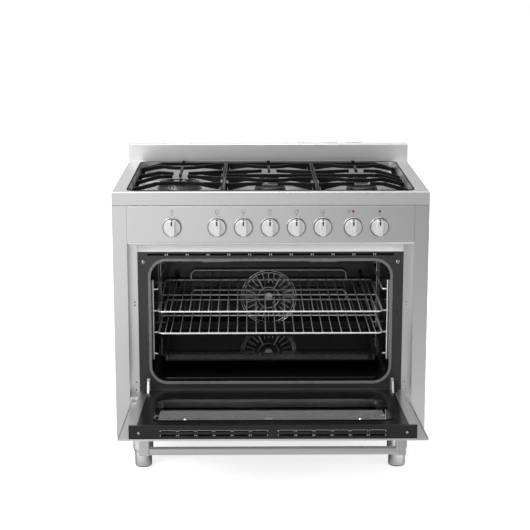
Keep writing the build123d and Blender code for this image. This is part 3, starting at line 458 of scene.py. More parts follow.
def skinned(name, colour, pitch, rough, spread, bump, depth, **sockets):
    """Casting, enamel, rubber or moulded plastic with an uneven skin; pitch is the grains per metre."""
    material, tree, shader = new_material(name, **sockets)
    place = add_node(tree, "ShaderNodeTexCoord")
    skin = place_group(tree, "uneven_skin", skin_group, Pitch=pitch, Base=rough, Spread=spread)
    tint = mix_colours(tree, skin.outputs["Tone"], *shades(colour, SKIN_SHADES))
    link(
        tree,
        (place.outputs["Object"], skin.inputs["Vector"]),
        (tint.outputs[2], shader.inputs["Base Color"]),
        (skin.outputs["Roughness"], shader.inputs["Roughness"]),
    )
    bump_from(tree, skin.outputs["Height"], bump, depth, shader)
    return material


def sheet_glass(name, colour, rough):
    """Sheet glass with faint wipe marks in its gloss."""
    material, tree, shader = new_material(name, Base_Color=(*colour, 1), Transmission_Weight=1.0, IOR=1.4)
    place = add_node(tree, "ShaderNodeTexCoord")
    skin = place_group(tree, "uneven_skin", skin_group, Base=rough, Spread=0.03)
    link(
        tree,
        (place.outputs["Object"], skin.inputs["Vector"]),
        (skin.outputs["Roughness"], shader.inputs["Roughness"]),
    )
    return material


def wear(material, *names):
    """Give CAD nodes a finish."""
    for name in names:
        slots = nodes[name].data.materials
        slots.clear()
        slots.append(material)


def forward_level(name, depth):
    """Level along the forward direction that lies a depth behind a node's nearest point."""
    return -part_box(name)[0][1] - depth


class RANGE_OT_metal(bpy.types.Operator):
    """Give the cabinet, door and hardware their metal finishes"""

    bl_idname = "range.metal"
    bl_label = "Metal Finishes"

    def execute(self, context):
        self.outer_steel(finishes().steel)
        self.bright_hardware(finishes().chrome)
        self.knobs_and_fan()
        self.inner_metal()
        return {"FINISHED"}

    def outer_steel(self, steel):
        """Brushed stainless sheet, with painted light on the backguard, painted shade on the handle and a
        painted highlight low on the control panel.
        """
        across = brushed_metal("stainless_across", steel, ACROSS, rough=0.26, spread=0.06)
        wear(across, "lower_panel", "door_skin", "door_frame")
        upright = brushed_metal("stainless_upright", steel, UPRIGHT, rough=0.26, spread=0.06)
        wear(upright, "side_panel_left", "side_panel_right")
        # Stainless lightened: painted light that the backguard's brushing picks up from above
        guard = brushed_metal("backguard_steel_painted_light", scaled(steel, 1.3), ACROSS, rough=0.3, spread=0.06)
        wear(guard, "backguard")
        # Stainless darkened: painted shade on the round handle
        handle = brushed_metal("handle_steel_painted_shade", scaled(steel, 0.8), ACROSS, rough=0.24, spread=0.06)
        wear(handle, "door_handle")
        hob = brushed_metal("hob_steel", steel, ACROSS, rough=0.32, spread=0.08)
        wear(hob, "hob_top")
        # Light grey non-metal over the panel's lower bend: a painted highlight along its rounded edge
        painted_highlight = (0.9, 0.9, 0.9)
        panel = two_tone("panel_steel_painted_highlight", UP, panel_fold, painted_highlight, steel, ACROSS, rough=0.26, spread=0.06)
        wear(panel, "control_panel")

    def bright_hardware(self, chrome):
        """Plated legs, wire and screws."""
        plated = {"Specular_Tint": DARK_EDGE}
        sleeve = brushed_metal("chrome_plate", chrome, POLISHED, rough=0.04, spread=0.05, **plated)
        wear(sleeve, "leg_sleeves")
        foot = two_tone(
            "foot_chrome", UP, FOOT_PAD, PAD_BLACK, chrome, POLISHED, rough=0.05, spread=0.06, **plated
        )
        wear(foot, "foot_front_left", "foot_front_right", "foot_rear_left", "foot_rear_right")
        wire = finishes().wire
        nickel = brushed_metal("nickel_wire", wire, POLISHED, rough=0.16, spread=0.1, Metallic=0.5, **plated)
        wear(nickel, "rack_guides", "rack_lower", "rack_upper")
        guard = brushed_metal("guard_wire", (0.75, 0.75, 0.76), POLISHED, rough=0.16, spread=0.1)
        wear(guard, "fan_guard")
        brushed_metal("dark_screw", (0.3, 0.3, 0.31), DRAWN, rough=0.2, spread=0.1)

    def knobs_and_fan(self):
        """Satin knobs on black skirts, their bezels darkened as painted shade, and the fan's bright blades
        on a dark disc of painted shade.
        """
        seat = forward_level("timer_knob", KNOB_METAL)
        silver = finishes().knob
        satin = two_tone(
            "satin_knob", FORWARD, seat, PAD_BLACK, silver, TURNED, rough=0.26, spread=0.08, Metallic=0.4
        )
        wear(satin, *knobs)
        # Steel darker than the chrome: painted shade in the rings round the knobs
        shaded_bezel = brushed_metal("bezel_steel_painted_shade", (0.46, 0.46, 0.465), POLISHED, rough=0.14, spread=0.06)
        wear(shaded_bezel, "knob_bezels")
        # Black on the fan's disc behind the blades: painted shade at the back of the oven
        disc = forward_level("fan_wheel", FAN_BLADE)
        bright = (0.95, 0.95, 0.95)
        wheel = two_tone("fan_steel_painted_shade", FORWARD, disc, SATIN_BLACK, bright, COATED, rough=0.3, spread=0.15)
        wear(wheel, "fan_wheel")

    def inner_metal(self):
        """Coated sheet, hinges, gas parts and burners."""
        zinc = brushed_metal("zinc_coat", (0.48, 0.5, 0.51), COATED, rough=0.38, spread=0.25, bump=0.05)
        wear(zinc, "back_panel", "base_pan", "fan_motor")
        hinge = brushed_metal("hinge_steel", (0.72, 0.72, 0.73), DRAWN, rough=0.2, spread=0.15, bump=0.04)
        wear(hinge, "hinge_arms", "hinge_receivers")
        brass = brushed_metal("valve_brass", (0.7, 0.52, 0.22), MACHINED, rough=0.25, spread=0.2, bump=0.08)
        wear(brass, "gas_valves")
        pipe = brushed_metal("pipe_steel", (0.32, 0.32, 0.33), PIPE, rough=0.3, spread=0.25, bump=0.08)
        wear(pipe, "gas_manifold", "grill_element", *[f"burner_spindle_{n}" for n in burners])
        alloy = brushed_metal("burner_alloy", (0.2, 0.2, 0.195), CAST, rough=0.26, spread=0.2, bump=0.15)
        wear(alloy, "burner_bodies")


class RANGE_OT_enamel(bpy.types.Operator):
    """Give the oven, grates, glass and small pieces their finishes"""

    bl_idname = "range.enamel"
    bl_label = "Enamel, Iron and Glass"

    def execute(self, context):
        self.iron_and_enamel(finishes())
        self.rubber_and_plastic(finishes())
        self.glass()
        return {"FINISHED"}

    def iron_and_enamel(self, colours):
        """Grates, burner caps, oven, tray and the inside of the door."""
        iron = skinned(
            "cast_iron", colours.iron, pitch=700, rough=0.32, spread=0.2, bump=0.3, depth=0.0005,
            Specular_IOR_Level=0.07,
        )
        wear(iron, "grate_left", "grate_centre", "grate_right")
        cavity = skinned(
            "oven_enamel", colours.cavity, pitch=260, rough=0.1, spread=0.12, bump=0.05, depth=0.0005
        )
        wear(cavity, "oven_liner")
        door = skinned(
            "door_enamel", colours.cavity, pitch=260, rough=0.12, spread=0.1, bump=0.05, depth=0.0005,
            Specular_IOR_Level=0.05,
        )
        wear(door, "door_inner_panel")
        edge = skinned(
            "front_enamel", colours.surround, pitch=260, rough=0.24, spread=0.1, bump=0.06, depth=0.0005
        )
        wear(edge, "oven_front_frame")
        caps = skinned(
            "cap_enamel", (0.008, 0.008, 0.008), pitch=500, rough=0.16, spread=0.1, bump=0.06, depth=0.0004
        )
        wear(caps, "burner_caps")
        tray = skinned(
            "tray_enamel", (0.006, 0.006, 0.007), pitch=220, rough=0.03, spread=0.05, bump=0.04, depth=0.0004
        )
        wear(tray, "oven_tray")
        ceramic = skinned(
            "ceramic", (0.82, 0.8, 0.75), pitch=300, rough=0.12, spread=0.1, bump=0.03, depth=0.0003
        )
        wear(ceramic, "spark_electrodes")

    def rubber_and_plastic(self, colours):
        """Seals, mouldings, lenses, black sheet and inks."""
        rubber = skinned(
            "hob_rubber", BLACK, pitch=900, rough=0.6, spread=0.2, bump=0.1, depth=0.0003,
            Specular_IOR_Level=0.04,
        )
        wear(rubber, "hob_seal")
        seal = skinned(
            "seal_rubber", colours.seal, pitch=1200, rough=0.22, spread=0.12, bump=0.1, depth=0.0004
        )
        wear(seal, "door_seal")
        plastic = skinned(
            "black_plastic", colours.plastic, pitch=1400, rough=0.38, spread=0.15, bump=0.15, depth=0.0004,
            Specular_IOR_Level=0.25,
        )
        wear(plastic, "door_top_cap", "oven_switches", "terminal_box")
        lens = skinned(
            "pilot_lens", colours.pilot, pitch=200, rough=0.08, spread=0.05, bump=0.02, depth=0.0002,
            Coat_Weight=0.6,
        )
        wear(lens, "indicator_lenses")
        skinned(
            "matt_black", BLACK, pitch=900, rough=0.6, spread=0.2, bump=0.05, depth=0.0003,
            Specular_IOR_Level=0.03,
        )
        skinned("grey_ink", colours.ink, pitch=900, rough=0.4, spread=0.1, bump=0.02, depth=0.0001)
        skinned("pointer_black", SATIN_BLACK, pitch=900, rough=0.3, spread=0.1, bump=0.05, depth=0.0001)

    def glass(self):
        """Panes of the door and the covers of the oven lamps."""
        wear(sheet_glass("inner_glass", (0.9, 0.91, 0.91), rough=0.0), "door_inner_glass")
        wear(sheet_glass("outer_glass", (0.9, 0.91, 0.92), rough=0.0), "door_outer_glass")
        wear(sheet_glass("lamp_glass", (0.95, 0.95, 0.92), rough=0.25), "oven_lamps")


def add_block(shape, low, high, edge=0.0):
    """Block between two corners, with rounded edges where edge is given."""
    block = bmesh.ops.create_cube(shape, size=1)["verts"]
    size = [top - bottom for bottom, top in zip(low, high)]
    middle = [(top + bottom) / 2 for bottom, top in zip(low, high)]
    bmesh.ops.scale(shape, vec=size, verts=block)
    bmesh.ops.translate(shape, vec=middle, verts=block)
    if edge:
        edges = list({line for vert in block for line in vert.link_edges})
        bmesh.ops.bevel(shape, geom=edges, offset=edge, segments=2, profile=0.5, affect="EDGES", material=-1)


def add_turning(shape, profile, place, steps):
    """Profile of radius and height, spun about its own axis and then put in place."""
    before = set(shape.verts)
    points = [shape.verts.new((radius, 0, height)) for radius, height in profile]
    lines = [shape.edges.new(pair) for pair in zip(points, points[1:])]
    bmesh.ops.spin(
        shape, geom=points + lines, cent=(0, 0, 0), axis=UP, angle=2 * pi, steps=steps, use_merge=True
    )
    bmesh.ops.remove_doubles(shape, verts=[vert for vert in shape.verts if vert not in before], dist=1e-6)
    bmesh.ops.transform(shape, matrix=place, verts=[vert for vert in shape.verts if vert not in before])


def facing(point, direction):
    """Placement that stands a turning on a point with its axis along a direction."""
    return Matrix.Translation(point) @ Vector(direction).to_track_quat("Z", "Y").to_matrix().to_4x4()


def add_screw(shape, point, direction, radius, head=PAN_HEAD):
    """Screw head with a round recess, standing on a surface; head is its rise as a share of its radius."""
    profile = [(radius * out, radius * head * up) for out, up in SCREW_PROFILE]
    add_turning(shape, profile, facing(point, direction), steps=16)


def finished(name, shape, body, material):
    """Turn a bmesh into a piece that rides on a body."""
    bmesh.ops.recalc_face_normals(shape, faces=shape.faces)
    mesh = bpy.data.meshes.new(name)
    shape.to_mesh(mesh)
    shape.free()
    mesh.shade_smooth()
    mesh.set_sharp_from_angle(angle=SHARP_EDGE)
    mesh.materials.append(bpy.data.materials[material])
    piece = bpy.data.objects.new(name, mesh)
    bpy.context.scene.collection.objects.link(piece)
    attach(piece, body)


def door_place():
    """Placement of the door as it lies: x across, y up the door, z outwards."""
    turn = radians(door_joint["range_deg"][1])
    lie = Matrix(((1, 0, 0), (0, -sin(turn), -cos(turn)), (0, cos(turn), -sin(turn)))).to_4x4()
    return Matrix.Translation(door_joint["pos_m"]) @ lie


def knob_middle(knob):
    """Place of a knob's axis across and up the panel."""
    low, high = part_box(knob)
    return (low[0] + high[0]) / 2, (low[2] + high[2]) / 2


class RANGE_OT_pointers(bpy.types.Operator):
    """Set a black pointer in the face and rim of each knob"""

    bl_idname = "range.pointers"
    bl_label = "Knob Pointers"

    # On the knob's face: how far it stands proud and is sunk, and its ends from the knob's middle, in metres
    face_proud = 0.0003
    face_sunk = 0.0008
    inner_end = 0.0085
    outer_end = 0.0212
    # On the knob's rim: its ends behind the face, and how far it is sunk and stands proud
    rim_start = 0.002
    rim_end = 0.0165
    rim_sunk = 0.0016
    rim_proud = 0.0002
    edge = 0.0003

    def execute(self, context):
        half = details().pointer / 2
        for knob in knobs:
            x, z = knob_middle(knob)
            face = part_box(knob)[0][1]
            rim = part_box(knob)[1][2]
            shape = bmesh.new()
            low = (x - half, face - self.face_proud, z + self.inner_end)
            high = (x + half, face + self.face_sunk, z + self.outer_end)
            add_block(shape, low, high, self.edge)
            low = (x - half, face + self.rim_start, rim - self.rim_sunk)
            high = (x + half, face + self.rim_end, rim + self.rim_proud)
            add_block(shape, low, high, self.edge)
            finished(f"pointer_{knob}", shape, knob, "pointer_black")
        return {"FINISHED"}


class RANGE_OT_marks(bpy.types.Operator):
    """Print the marks on the control panel"""

    bl_idname = "range.marks"
    bl_label = "Panel Marks"

    # Heights over a knob's middle, the fan sign's place left of its pilot lens, and print sizes, in metres
    tick_height = 0.0353
    sign_height = 0.0445
    fan_left = 0.0115
    line = 0.001
    square = 0.0096
    ring_outer = 0.0052
    ring_inner = 0.0042
    # Which way each burner lies from the middle of the hob
    burner_spots = {
        "burner_knob_1": (-1, 0), "burner_knob_2": (0, -1), "burner_knob_3": (0, 1), "burner_knob_4": (1, 1),
        "burner_knob_5": (1, -1),
    }

    def execute(self, context):
        shape = bmesh.new()
        for knob in knobs:
            x, z = knob_middle(knob)
            self.tick(shape, x, z + self.tick_height)
            if knob in self.burner_spots:
                self.burner_sign(shape, x, z + self.sign_height, self.burner_spots[knob])
            elif knob == "timer_knob":
                self.clock_sign(shape, x, z + self.sign_height)
            elif knob == "function_knob":
                self.fan_sign(shape, x - self.fan_left, z + self.sign_height)
        finished("panel_marks", shape, "cabinet", "grey_ink")
        return {"FINISHED"}

    def bar(self, shape, left, right, bottom, top, edge=0.0):
        """Printed bar on the panel's face."""
        add_block(shape, (left, front - details().ink, bottom), (right, front, top), edge)

    def ring(self, shape, x, z):
        """Printed ring round a point."""
        ink = details().ink
        outer = self.ring_outer
        inner = self.ring_inner
        profile = [(inner, 0), (outer, 0), (outer, ink), (inner, ink), (inner, 0)]
        add_turning(shape, profile, facing((x, front, z), FORWARD), steps=24)

    def dot(self, shape, x, z, radius):
        """Printed dot."""
        ink = details().ink
        profile = [(0, 0), (radius, 0), (radius, ink), (0, ink)]
        add_turning(shape, profile, facing((x, front, z), FORWARD), steps=16)

    def tick(self, shape, x, z):
        """Upright line that the pointer meets."""
        wide = 0.0006
        tall = 0.0032
        self.bar(shape, x - wide, x + wide, z - tall, z + tall, details().ink / 4)

    def burner_sign(self, shape, x, z, spot):
        """Square hob outline with a dot where the burner is."""
        half = self.square / 2
        thin = self.line / 2
        for side in (-half, half):
            self.bar(shape, x - half, x + half, z + side - thin, z + side + thin)
            self.bar(shape, x + side - thin, x + side + thin, z - half, z + half)
        self.dot(shape, x + spot[0] * 0.0025, z + spot[1] * 0.0022, radius=0.0017)

    def clock_sign(self, shape, x, z):
        """Clock face with two hands."""
        thin = self.line / 2
        tail = 0.0003
        long_hand = 0.0034
        short_hand = 0.0027
        self.ring(shape, x, z)
        self.bar(shape, x - thin, x + thin, z - tail, z + long_hand)
        self.bar(shape, x, x + short_hand, z - thin, z + thin)

    def fan_sign(self, shape, x, z):
        """Ring with three dots for the oven fan."""
        reach = 0.0021
        self.ring(shape, x, z)
        for n in range(3):
            turn = pi / 2 + n * 2 * pi / 3
            self.dot(shape, x + reach * cos(turn), z + reach * sin(turn), radius=0.0012)


class RANGE_OT_screws(bpy.types.Operator):
    """Set the screws of the oven front, back and door, and the studs on the inner window"""

    bl_idname = "range.screws"
    bl_label = "Screws and Studs"

    def execute(self, context):
        self.front_screws(details())
        self.back_screws(details())
        self.door_screws(details())
        return {"FINISHED"}

    def front_screws(self, sizes):
        """Small screws in the posts beside the oven and low ones in its top corners."""
        post = 0.393
        corner = 0.367
        corner_height = 0.633
        shape = bmesh.new()
        for side in (-1, 1):
            for height in (0.25, 0.274, 0.506, 0.516):
                add_screw(shape, (side * post, oven_face, height), FORWARD, sizes.post_screw)
            point = (side * corner, oven_face, corner_height)
            add_screw(shape, point, FORWARD, sizes.corner_screw, LOW_HEAD)
        finished("front_screws", shape, "cabinet", "dark_screw")

    def back_screws(self, sizes):
        """Screws round the back panel and in the lid of the terminal box."""
        shape = bmesh.new()
        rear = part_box("back_panel")[1][1]
        for height in (0.14, 0.3, 0.46, 0.62, 0.775):
            for x in (-0.438, 0.438):
                add_screw(shape, (x, rear, height), REARWARD, sizes.back_screw)
        for x in (-0.3, -0.15, 0, 0.15, 0.3):
            for height in (0.133, 0.795):
                add_screw(shape, (x, rear, height), REARWARD, sizes.back_screw)
        low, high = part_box("terminal_box")
        inset = 0.008
        for x in (low[0] + inset, high[0] - inset):
            add_screw(shape, (x, high[1], high[2] - inset), REARWARD, sizes.box_screw)
        finished("back_screws", shape, "cabinet", "zinc_coat")

    def door_screws(self, sizes):
        """Screws at the ends of the door's top cap and studs on its inner window."""
        place = door_place()
        up_door = place.to_3x3() @ Vector((0, 1, 0))
        inwards = place.to_3x3() @ Vector((0, 0, -1))
        shape = bmesh.new()
        for x in (-0.3498, 0.3498):
            add_screw(shape, place @ Vector((x, CAP_TOP, CAP_MIDDLE)), up_door, sizes.cap_screw)
        finished("cap_screws", shape, "door", "dark_screw")
        shape = bmesh.new()
        for x in (-0.232, 0.232):
            add_screw(shape, place @ Vector((x, STUD_HEIGHT, INNER_PANE)), inwards, sizes.stud, TALL_HEAD)
        finished("glass_studs", shape, "door", "chrome_plate")


class RANGE_OT_door_painted_glints(bpy.types.Operator):
    """Add bright pieces at the ends of the vent slots in the door's top cap, as painted highlights of the
    slots' rounded rims
    """

    bl_idname = "range.door_clips"
    bl_label = "Door Vent Painted Glints"

    def execute(self, context):
        half = details().clip / 2
        tall = 0.003
        sunk = 0.0004
        proud = 0.0005
        # Two banks of six slots in two rows; the banks' middles and the slots' pitch across the door
        bank = 0.15375
        slots = 6
        pitch = 0.0473
        shape = bmesh.new()
        for side in (-1, 1):
            for n in range(slots):
                middle = side * bank + pitch * (n - (slots - 1) / 2)
                for row in (-0.00585, 0.00585):
                    for end in (-0.0213, 0.0213):
                        x = middle + end
                        bottom = CAP_MIDDLE + row - tall / 2
                        low = (x - half, CAP_TOP - sunk, bottom)
                        high = (x + half, CAP_TOP + proud, bottom + tall)
                        # Each bright piece is a painted highlight of a slot's rounded end
                        add_block(shape, low, high, edge=0.0003)
        bmesh.ops.transform(shape, matrix=door_place(), verts=shape.verts)
        finished("cap_vent_painted_glints", shape, "door", "chrome_plate")
        return {"FINISHED"}


class RANGE_OT_light_shield(bpy.types.Operator):
    """Add the black sheet that frames the window between the door's panes"""

    bl_idname = "range.light_shield"
    bl_label = "Door Light Shield"

    def execute(self, context):
        shape = bmesh.new()
        loops = []
        for level in (SHIELD_LEVEL, SHIELD_LEVEL - details().sheet):
            loops.append(self.outline(shape, level, half=0.332, bottom=0.112, top=0.414))
            loops.append(self.outline(shape, level, half=0.313, bottom=0.136, top=0.373))
        # Both faces, then the outer edge and the edge of the window
        for first, second in ((0, 1), (2, 3), (0, 2), (1, 3)):
            bmesh.ops.bridge_loops(shape, edges=loops[first] + loops[second])
        bmesh.ops.transform(shape, matrix=door_place(), verts=shape.verts)
        finished("door_light_shield", shape, "door", "matt_black")
        return {"FINISHED"}

    def outline(self, shape, level, half, bottom, top):
        """Edges of an upright rectangle on the door at a level."""
        corners = ((-half, bottom), (half, bottom), (half, top), (-half, top))
        points = [shape.verts.new((x, along, level)) for x, along in corners]
        return [shape.edges.new((points[n - 1], points[n])) for n in range(4)]


class RANGE_OT_oven_vents(bpy.types.Operator):
    """Add bright pieces at the ends of the cooling slots over the oven, as painted highlights of the slots'
    rounded rims, and the dark baffle behind them
    """

    bl_idname = "range.oven_vents"
    bl_label = "Oven Vent Painted Glints and Baffle"

    edge = 0.0002

    def execute(self, context):
        self.painted_glints(details().clip / 2)
        self.baffle(details().sheet)
        return {"FINISHED"}

    def painted_glints(self, half):
        """Bright pieces on both sides of the bridges between the slots: painted highlights of the slots'
        rims.
        """
        proud = 0.0005
        rise = 0.0024
        bridges = 11
        pitch = 0.06
        shape = bmesh.new()
        for n in range(bridges):
            for side in (-0.0028, 0.0028):
                x = pitch * (n - (bridges - 1) / 2) + side
                low = (x - half, oven_face - proud, vent_row - rise)
                high = (x + half, oven_face, vent_row + rise)
                # Each bright piece is a painted highlight of a slot's rounded end
                add_block(shape, low, high, self.edge)
        finished("frame_vent_painted_glints", shape, "cabinet", "chrome_plate")

    def baffle(self, thickness):
        """Dark strip close behind all the slots."""
        half = 0.364
        below = 0.006
        above = 0.005
        near = oven_face + 0.002
        shape = bmesh.new()
        low = (-half, near, vent_row - below)
        high = (half, near + thickness, vent_row + above)
        add_block(shape, low, high, self.edge)
        finished("vent_baffle", shape, "cabinet", "matt_black")


class RANGE_OT_floor_ridge(bpy.types.Operator):
    """Press the ridge into the front of the oven floor"""

    bl_idname = "range.floor_ridge"
    bl_label = "Oven Floor Ridge"

    def execute(self, context):
        enamelled_sheet = 0.0015
        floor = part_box("oven_liner")[0][2] + enamelled_sheet
        near = front + 0.075
        half = 0.31
        width = 0.004
        sunk = 0.0003
        rise = 0.0016
        shape = bmesh.new()
        add_block(shape, (-half, near, floor - sunk), (half, near + width, floor + rise), edge=0.0008)
        finished("oven_floor_ridge", shape, "cabinet", "front_enamel")
        return {"FINISHED"}


class RANGE_OT_inlet_thread(bpy.types.Operator):
    """Cut the thread of the gas inlet"""

    bl_idname = "range.inlet_thread"
    bl_label = "Gas Inlet Thread"

    def execute(self, context):
        inlet = next(mount for mount in frame["record"]["mounts"] if mount["name"] == "gas_inlet")
        radius = inlet["dims"]["r_mm"] / 1000
        root = radius - 0.0004
        crest = radius + 0.0005
        pitch = 0.0018
        rise = 0.0008
        run = 0.0205
        low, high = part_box("gas_manifold")
        place = facing((high[0] - radius, high[1] - run, (low[2] + high[2]) / 2), REARWARD)
        shape = bmesh.new()
        for n in range(10):
            step = n * pitch
            profile = [(root, step), (crest, step + rise), (root, step + 2 * rise), (root, step)]
            add_turning(shape, profile, place, steps=32)
        finished("inlet_thread", shape, "cabinet", "pipe_steel")
        return {"FINISHED"}


class RANGE_OT_gland_nut(bpy.types.Operator):
    """Put the six-sided nut on the cable entry"""

    bl_idname = "range.gland_nut"
    bl_label = "Cable Gland Nut"

    def execute(self, context):
        low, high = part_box("terminal_box")
        centre = ((low[0] + high[0]) / 2, (low[1] + high[1]) / 2, low[2])
        inner = 0.0091
        outer = 0.0112
        bottom = 0.001
        top = 0.008
        profile = [(inner, bottom), (outer, bottom), (outer, top), (inner, top), (inner, bottom)]
        shape = bmesh.new()
        add_turning(shape, profile, facing(centre, UP), steps=6)
        finished("gland_nut", shape, "cabinet", "black_plastic")
        return {"FINISHED"}


def area_lamp(name, watts, place, aim, size):
    """Rectangular lamp that faces a point."""
    lamp = bpy.data.lights.new(name, "AREA")
    lamp.shape = "RECTANGLE"
    lamp.size, lamp.size_y = size
    lamp.energy = watts
    holder = bpy.data.objects.new(name, lamp)
    holder.location = place
    holder.rotation_euler = (Vector(aim) - Vector(place)).to_track_quat("-Z", "Y").to_euler()
    bpy.context.scene.collection.objects.link(holder)


def map_range(tree, start, end, first, last):
    """Node that goes from first to last while its value goes from start to end."""
    return add_node(tree, "ShaderNodeMapRange", From_Min=start, From_Max=end, To_Min=first, To_Max=last)


class RANGE_OT_stage(bpy.types.Operator):
    """Set up the floor, lamps, background and camera"""

    bl_idname = "range.stage"
    bl_label = "Studio"

    def execute(self, context):
        settings = studio()
        scene = context.scene
        scene.view_settings.view_transform = "Standard"
        self.white_world(scene)
        self.pale_floor(scene)
        area_lamp("key_lamp", settings.key, place=(-2.6, -2.7, 2.6), aim=(0.1, 0, 0.6), size=(2.2, 2.2))
        area_lamp("fill_lamp", settings.fill, place=(2.8, -2.4, 1.6), aim=(0, 0, 0.5), size=(1.4, 2.2))
        area_lamp("top_lamp", settings.top, place=(-0.3, -0.2, 3.4), aim=(0, 0, 0.6), size=(2.6, 2.0))
        area_lamp("oven_lamp", settings.oven, place=(-1.7, -3.1, 2.5), aim=(0, 0.2, 0.45), size=(0.9, 0.9))
        self.camera(scene, settings)
        return {"FINISHED"}

    def camera(self, scene, settings):
        """Camera at the photograph's viewing angle."""
        camera = bpy.data.cameras.new("camera")
        camera.lens = settings.lens
        camera.sensor_width = settings.sensor
        holder = bpy.data.objects.new("camera", camera)
        holder.location = settings.eye
        holder.rotation_euler = (settings.aim - settings.eye).to_track_quat("-Z", "Y").to_euler()
        scene.collection.objects.link(holder)
        scene.camera = holder

    def white_world(self, scene):
        """White to the eye, brighter to the left in reflections, and softer as light."""
        world = bpy.data.worlds.new("studio_white")
        scene.world = world
        world.use_nodes = True
        tree = world.node_tree
        tree.nodes.clear()
        path = add_node(tree, "ShaderNodeLightPath")
        clear = add_node(tree, "ShaderNodeMath", operation="MAXIMUM")
        soft = add_node(tree, "ShaderNodeBackground", Color=WHITE, Strength=0.4)
        white = add_node(tree, "ShaderNodeBackground", Color=WHITE, Strength=1.0)
        graded = add_node(tree, "ShaderNodeBackground", Color=WHITE)
        aim = add_node(tree, "ShaderNodeTexCoord")
        axes = add_node(tree, "ShaderNodeSeparateXYZ")
        side = map_range(tree, start=-0.15, end=0.3, first=0.95, last=0.45)
        mirror = add_node(tree, "ShaderNodeMixShader")
        blend = add_node(tree, "ShaderNodeMixShader")
        out = add_node(tree, "ShaderNodeOutputWorld")
        link(
            tree,
            (aim.outputs["Generated"], axes.inputs[0]),
            (axes.outputs["X"], side.inputs["Value"]),
            (side.outputs["Result"], graded.inputs["Strength"]),
            (path.outputs["Is Camera Ray"], clear.inputs[0]),
            (path.outputs["Is Transmission Ray"], clear.inputs[1]),
            (path.outputs["Is Glossy Ray"], mirror.inputs[0]),
            (soft.outputs[0], mirror.inputs[1]),
            (graded.outputs[0], mirror.inputs[2]),
            (clear.outputs[0], blend.inputs[0]),
            (mirror.outputs[0], blend.inputs[1]),
            (white.outputs[0], blend.inputs[2]),
            (blend.outputs[0], out.inputs["Surface"]),
        )

    def pale_floor(self, scene):
        """Large pale floor that keeps a faint shadow and fades to white with distance."""
        mesh = bpy.data.meshes.new("floor")
        shape = bmesh.new()
        bmesh.ops.create_grid(shape, x_segments=1, y_segments=1, size=30)
        shape.to_mesh(mesh)
        shape.free()
        floor = bpy.data.objects.new("floor", mesh)
        scene.collection.objects.link(floor)
        mesh.materials.append(self.floor_white())

    def floor_white(self):
        """Matt white that glows to the eye and has its own brightness in reflections."""
        material = bpy.data.materials.new("floor_white")
        material.use_nodes = True
        tree = material.node_tree
        tree.nodes.clear()
        path = add_node(tree, "ShaderNodeLightPath")
        place = add_node(tree, "ShaderNodeTexCoord")
        matt = add_node(tree, "ShaderNodeBsdfDiffuse", Color=(0.85, 0.85, 0.85, 1))
        glow = add_node(tree, "ShaderNodeEmission", Color=WHITE)
        mirrored = add_node(tree, "ShaderNodeEmission", Color=WHITE)
        both = add_node(tree, "ShaderNodeAddShader")
        blend = add_node(tree, "ShaderNodeMixShader")
        out = add_node(tree, "ShaderNodeOutputMaterial")
        link(
            tree,
            (self.seen_level(tree, path, place), glow.inputs["Strength"]),
            (self.mirrored_level(tree, place), mirrored.inputs["Strength"]),
            (matt.outputs[0], both.inputs[0]),
            (glow.outputs[0], both.inputs[1]),
            (path.outputs["Is Glossy Ray"], blend.inputs[0]),
            (both.outputs[0], blend.inputs[1]),
            (mirrored.outputs[0], blend.inputs[2]),
            (blend.outputs[0], out.inputs["Surface"]),
        )
        return material

    def seen_level(self, tree, path, place):
        """Glow of the floor to the eye, less near the range for its shadow, and full through glass."""
        away = add_node(tree, "ShaderNodeVectorMath", operation="LENGTH")
        fade = map_range(tree, start=0.9, end=2.2, first=0.74, last=1.0)
        eye = add_node(tree, "ShaderNodeMath", operation="MULTIPLY")
        shown = add_node(tree, "ShaderNodeMath", operation="MAXIMUM")
        link(
            tree,
            (place.outputs["Object"], away.inputs[0]),
            (away.outputs["Value"], fade.inputs["Value"]),
            (path.outputs["Is Camera Ray"], eye.inputs[0]),
            (fade.outputs["Result"], eye.inputs[1]),
            (eye.outputs[0], shown.inputs[0]),
            (path.outputs["Is Transmission Ray"], shown.inputs[1]),
        )
        return shown.outputs[0]

    def mirrored_level(self, tree, place):
        """Brightness of the floor in reflections: painted light that falls off to the right in front, and
        painted shadow under the range.
        """
        axes = add_node(tree, "ShaderNodeSeparateXYZ")
        lean = map_range(tree, start=-3.5, end=-0.5, first=0.62, last=0.0)
        tilt = add_node(tree, "ShaderNodeMath", operation="MULTIPLY")
        level = add_node(tree, "ShaderNodeMath", operation="SUBTRACT")
        level.inputs[0].default_value = 0.8
        even = add_node(tree, "ShaderNodeClamp", Min=0.34, Max=1.15)
        middle = add_node(tree, "ShaderNodeVectorMath", operation="DISTANCE")
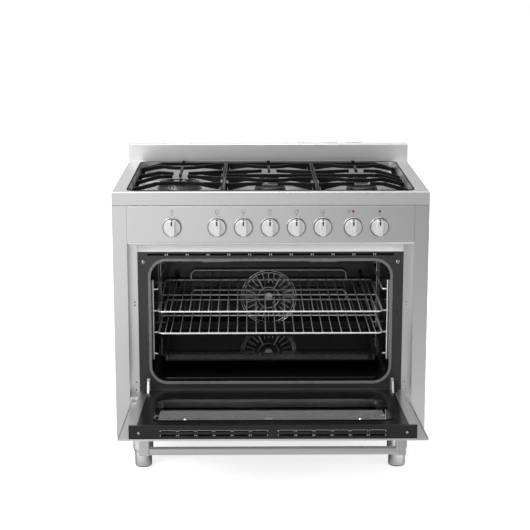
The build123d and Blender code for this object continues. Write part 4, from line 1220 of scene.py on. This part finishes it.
        # The painted shadow is darkest under the rear half of the range
        middle.inputs[1].default_value = (0, 0.35, 0)
        under = map_range(tree, start=0.45, end=0.65, first=0.12, last=1.0)
        shade = add_node(tree, "ShaderNodeMath", operation="MULTIPLY")
        link(
            tree,
            (place.outputs["Object"], axes.inputs[0]),
            (axes.outputs["Y"], lean.inputs["Value"]),
            (axes.outputs["X"], tilt.inputs[0]),
            (lean.outputs["Result"], tilt.inputs[1]),
            (tilt.outputs[0], level.inputs[1]),
            (level.outputs[0], even.inputs["Value"]),
            (place.outputs["Object"], middle.inputs[0]),
            (middle.outputs["Value"], under.inputs["Value"]),
            (even.outputs[0], shade.inputs[0]),
            (under.outputs["Result"], shade.inputs[1]),
        )
        return shade.outputs[0]


class RANGE_PT_panel(bpy.types.Panel):
    """Steps that dress the range"""

    bl_label = "Freestanding Range"
    bl_space_type = "VIEW_3D"
    bl_region_type = "UI"
    bl_category = "Range"

    def draw(self, context):
        for step in steps:
            self.layout.operator(step.bl_idname)
        for group in (finishes(), details(), studio()):
            for name in group.__annotations__:
                self.layout.prop(group, name)


steps = (
    RANGE_OT_metal,
    RANGE_OT_enamel,
    RANGE_OT_pointers,
    RANGE_OT_marks,
    RANGE_OT_screws,
    RANGE_OT_door_painted_glints,
    RANGE_OT_light_shield,
    RANGE_OT_oven_vents,
    RANGE_OT_floor_ridge,
    RANGE_OT_inlet_thread,
    RANGE_OT_gland_nut,
    RANGE_OT_stage,
)
classes = (RangeFinishes, RangeDetails, RangeStudio, *steps, RANGE_PT_panel)


def register():
    for item in classes:
        bpy.utils.register_class(item)
    bpy.types.Scene.range_finishes = PointerProperty(type=RangeFinishes)
    bpy.types.Scene.range_details = PointerProperty(type=RangeDetails)
    bpy.types.Scene.range_studio = PointerProperty(type=RangeStudio)


def unregister():
    del bpy.types.Scene.range_studio
    del bpy.types.Scene.range_details
    del bpy.types.Scene.range_finishes
    for item in reversed(classes):
        bpy.utils.unregister_class(item)


def main():
    register()
    bpy.ops.range.metal()
    bpy.ops.range.enamel()
    bpy.ops.range.pointers()
    bpy.ops.range.marks()
    bpy.ops.range.screws()
    bpy.ops.range.door_clips()
    bpy.ops.range.light_shield()
    bpy.ops.range.oven_vents()
    bpy.ops.range.floor_ridge()
    bpy.ops.range.inlet_thread()
    bpy.ops.range.gland_nut()
    bpy.ops.range.stage()


if __name__ == "__main__":
    main()
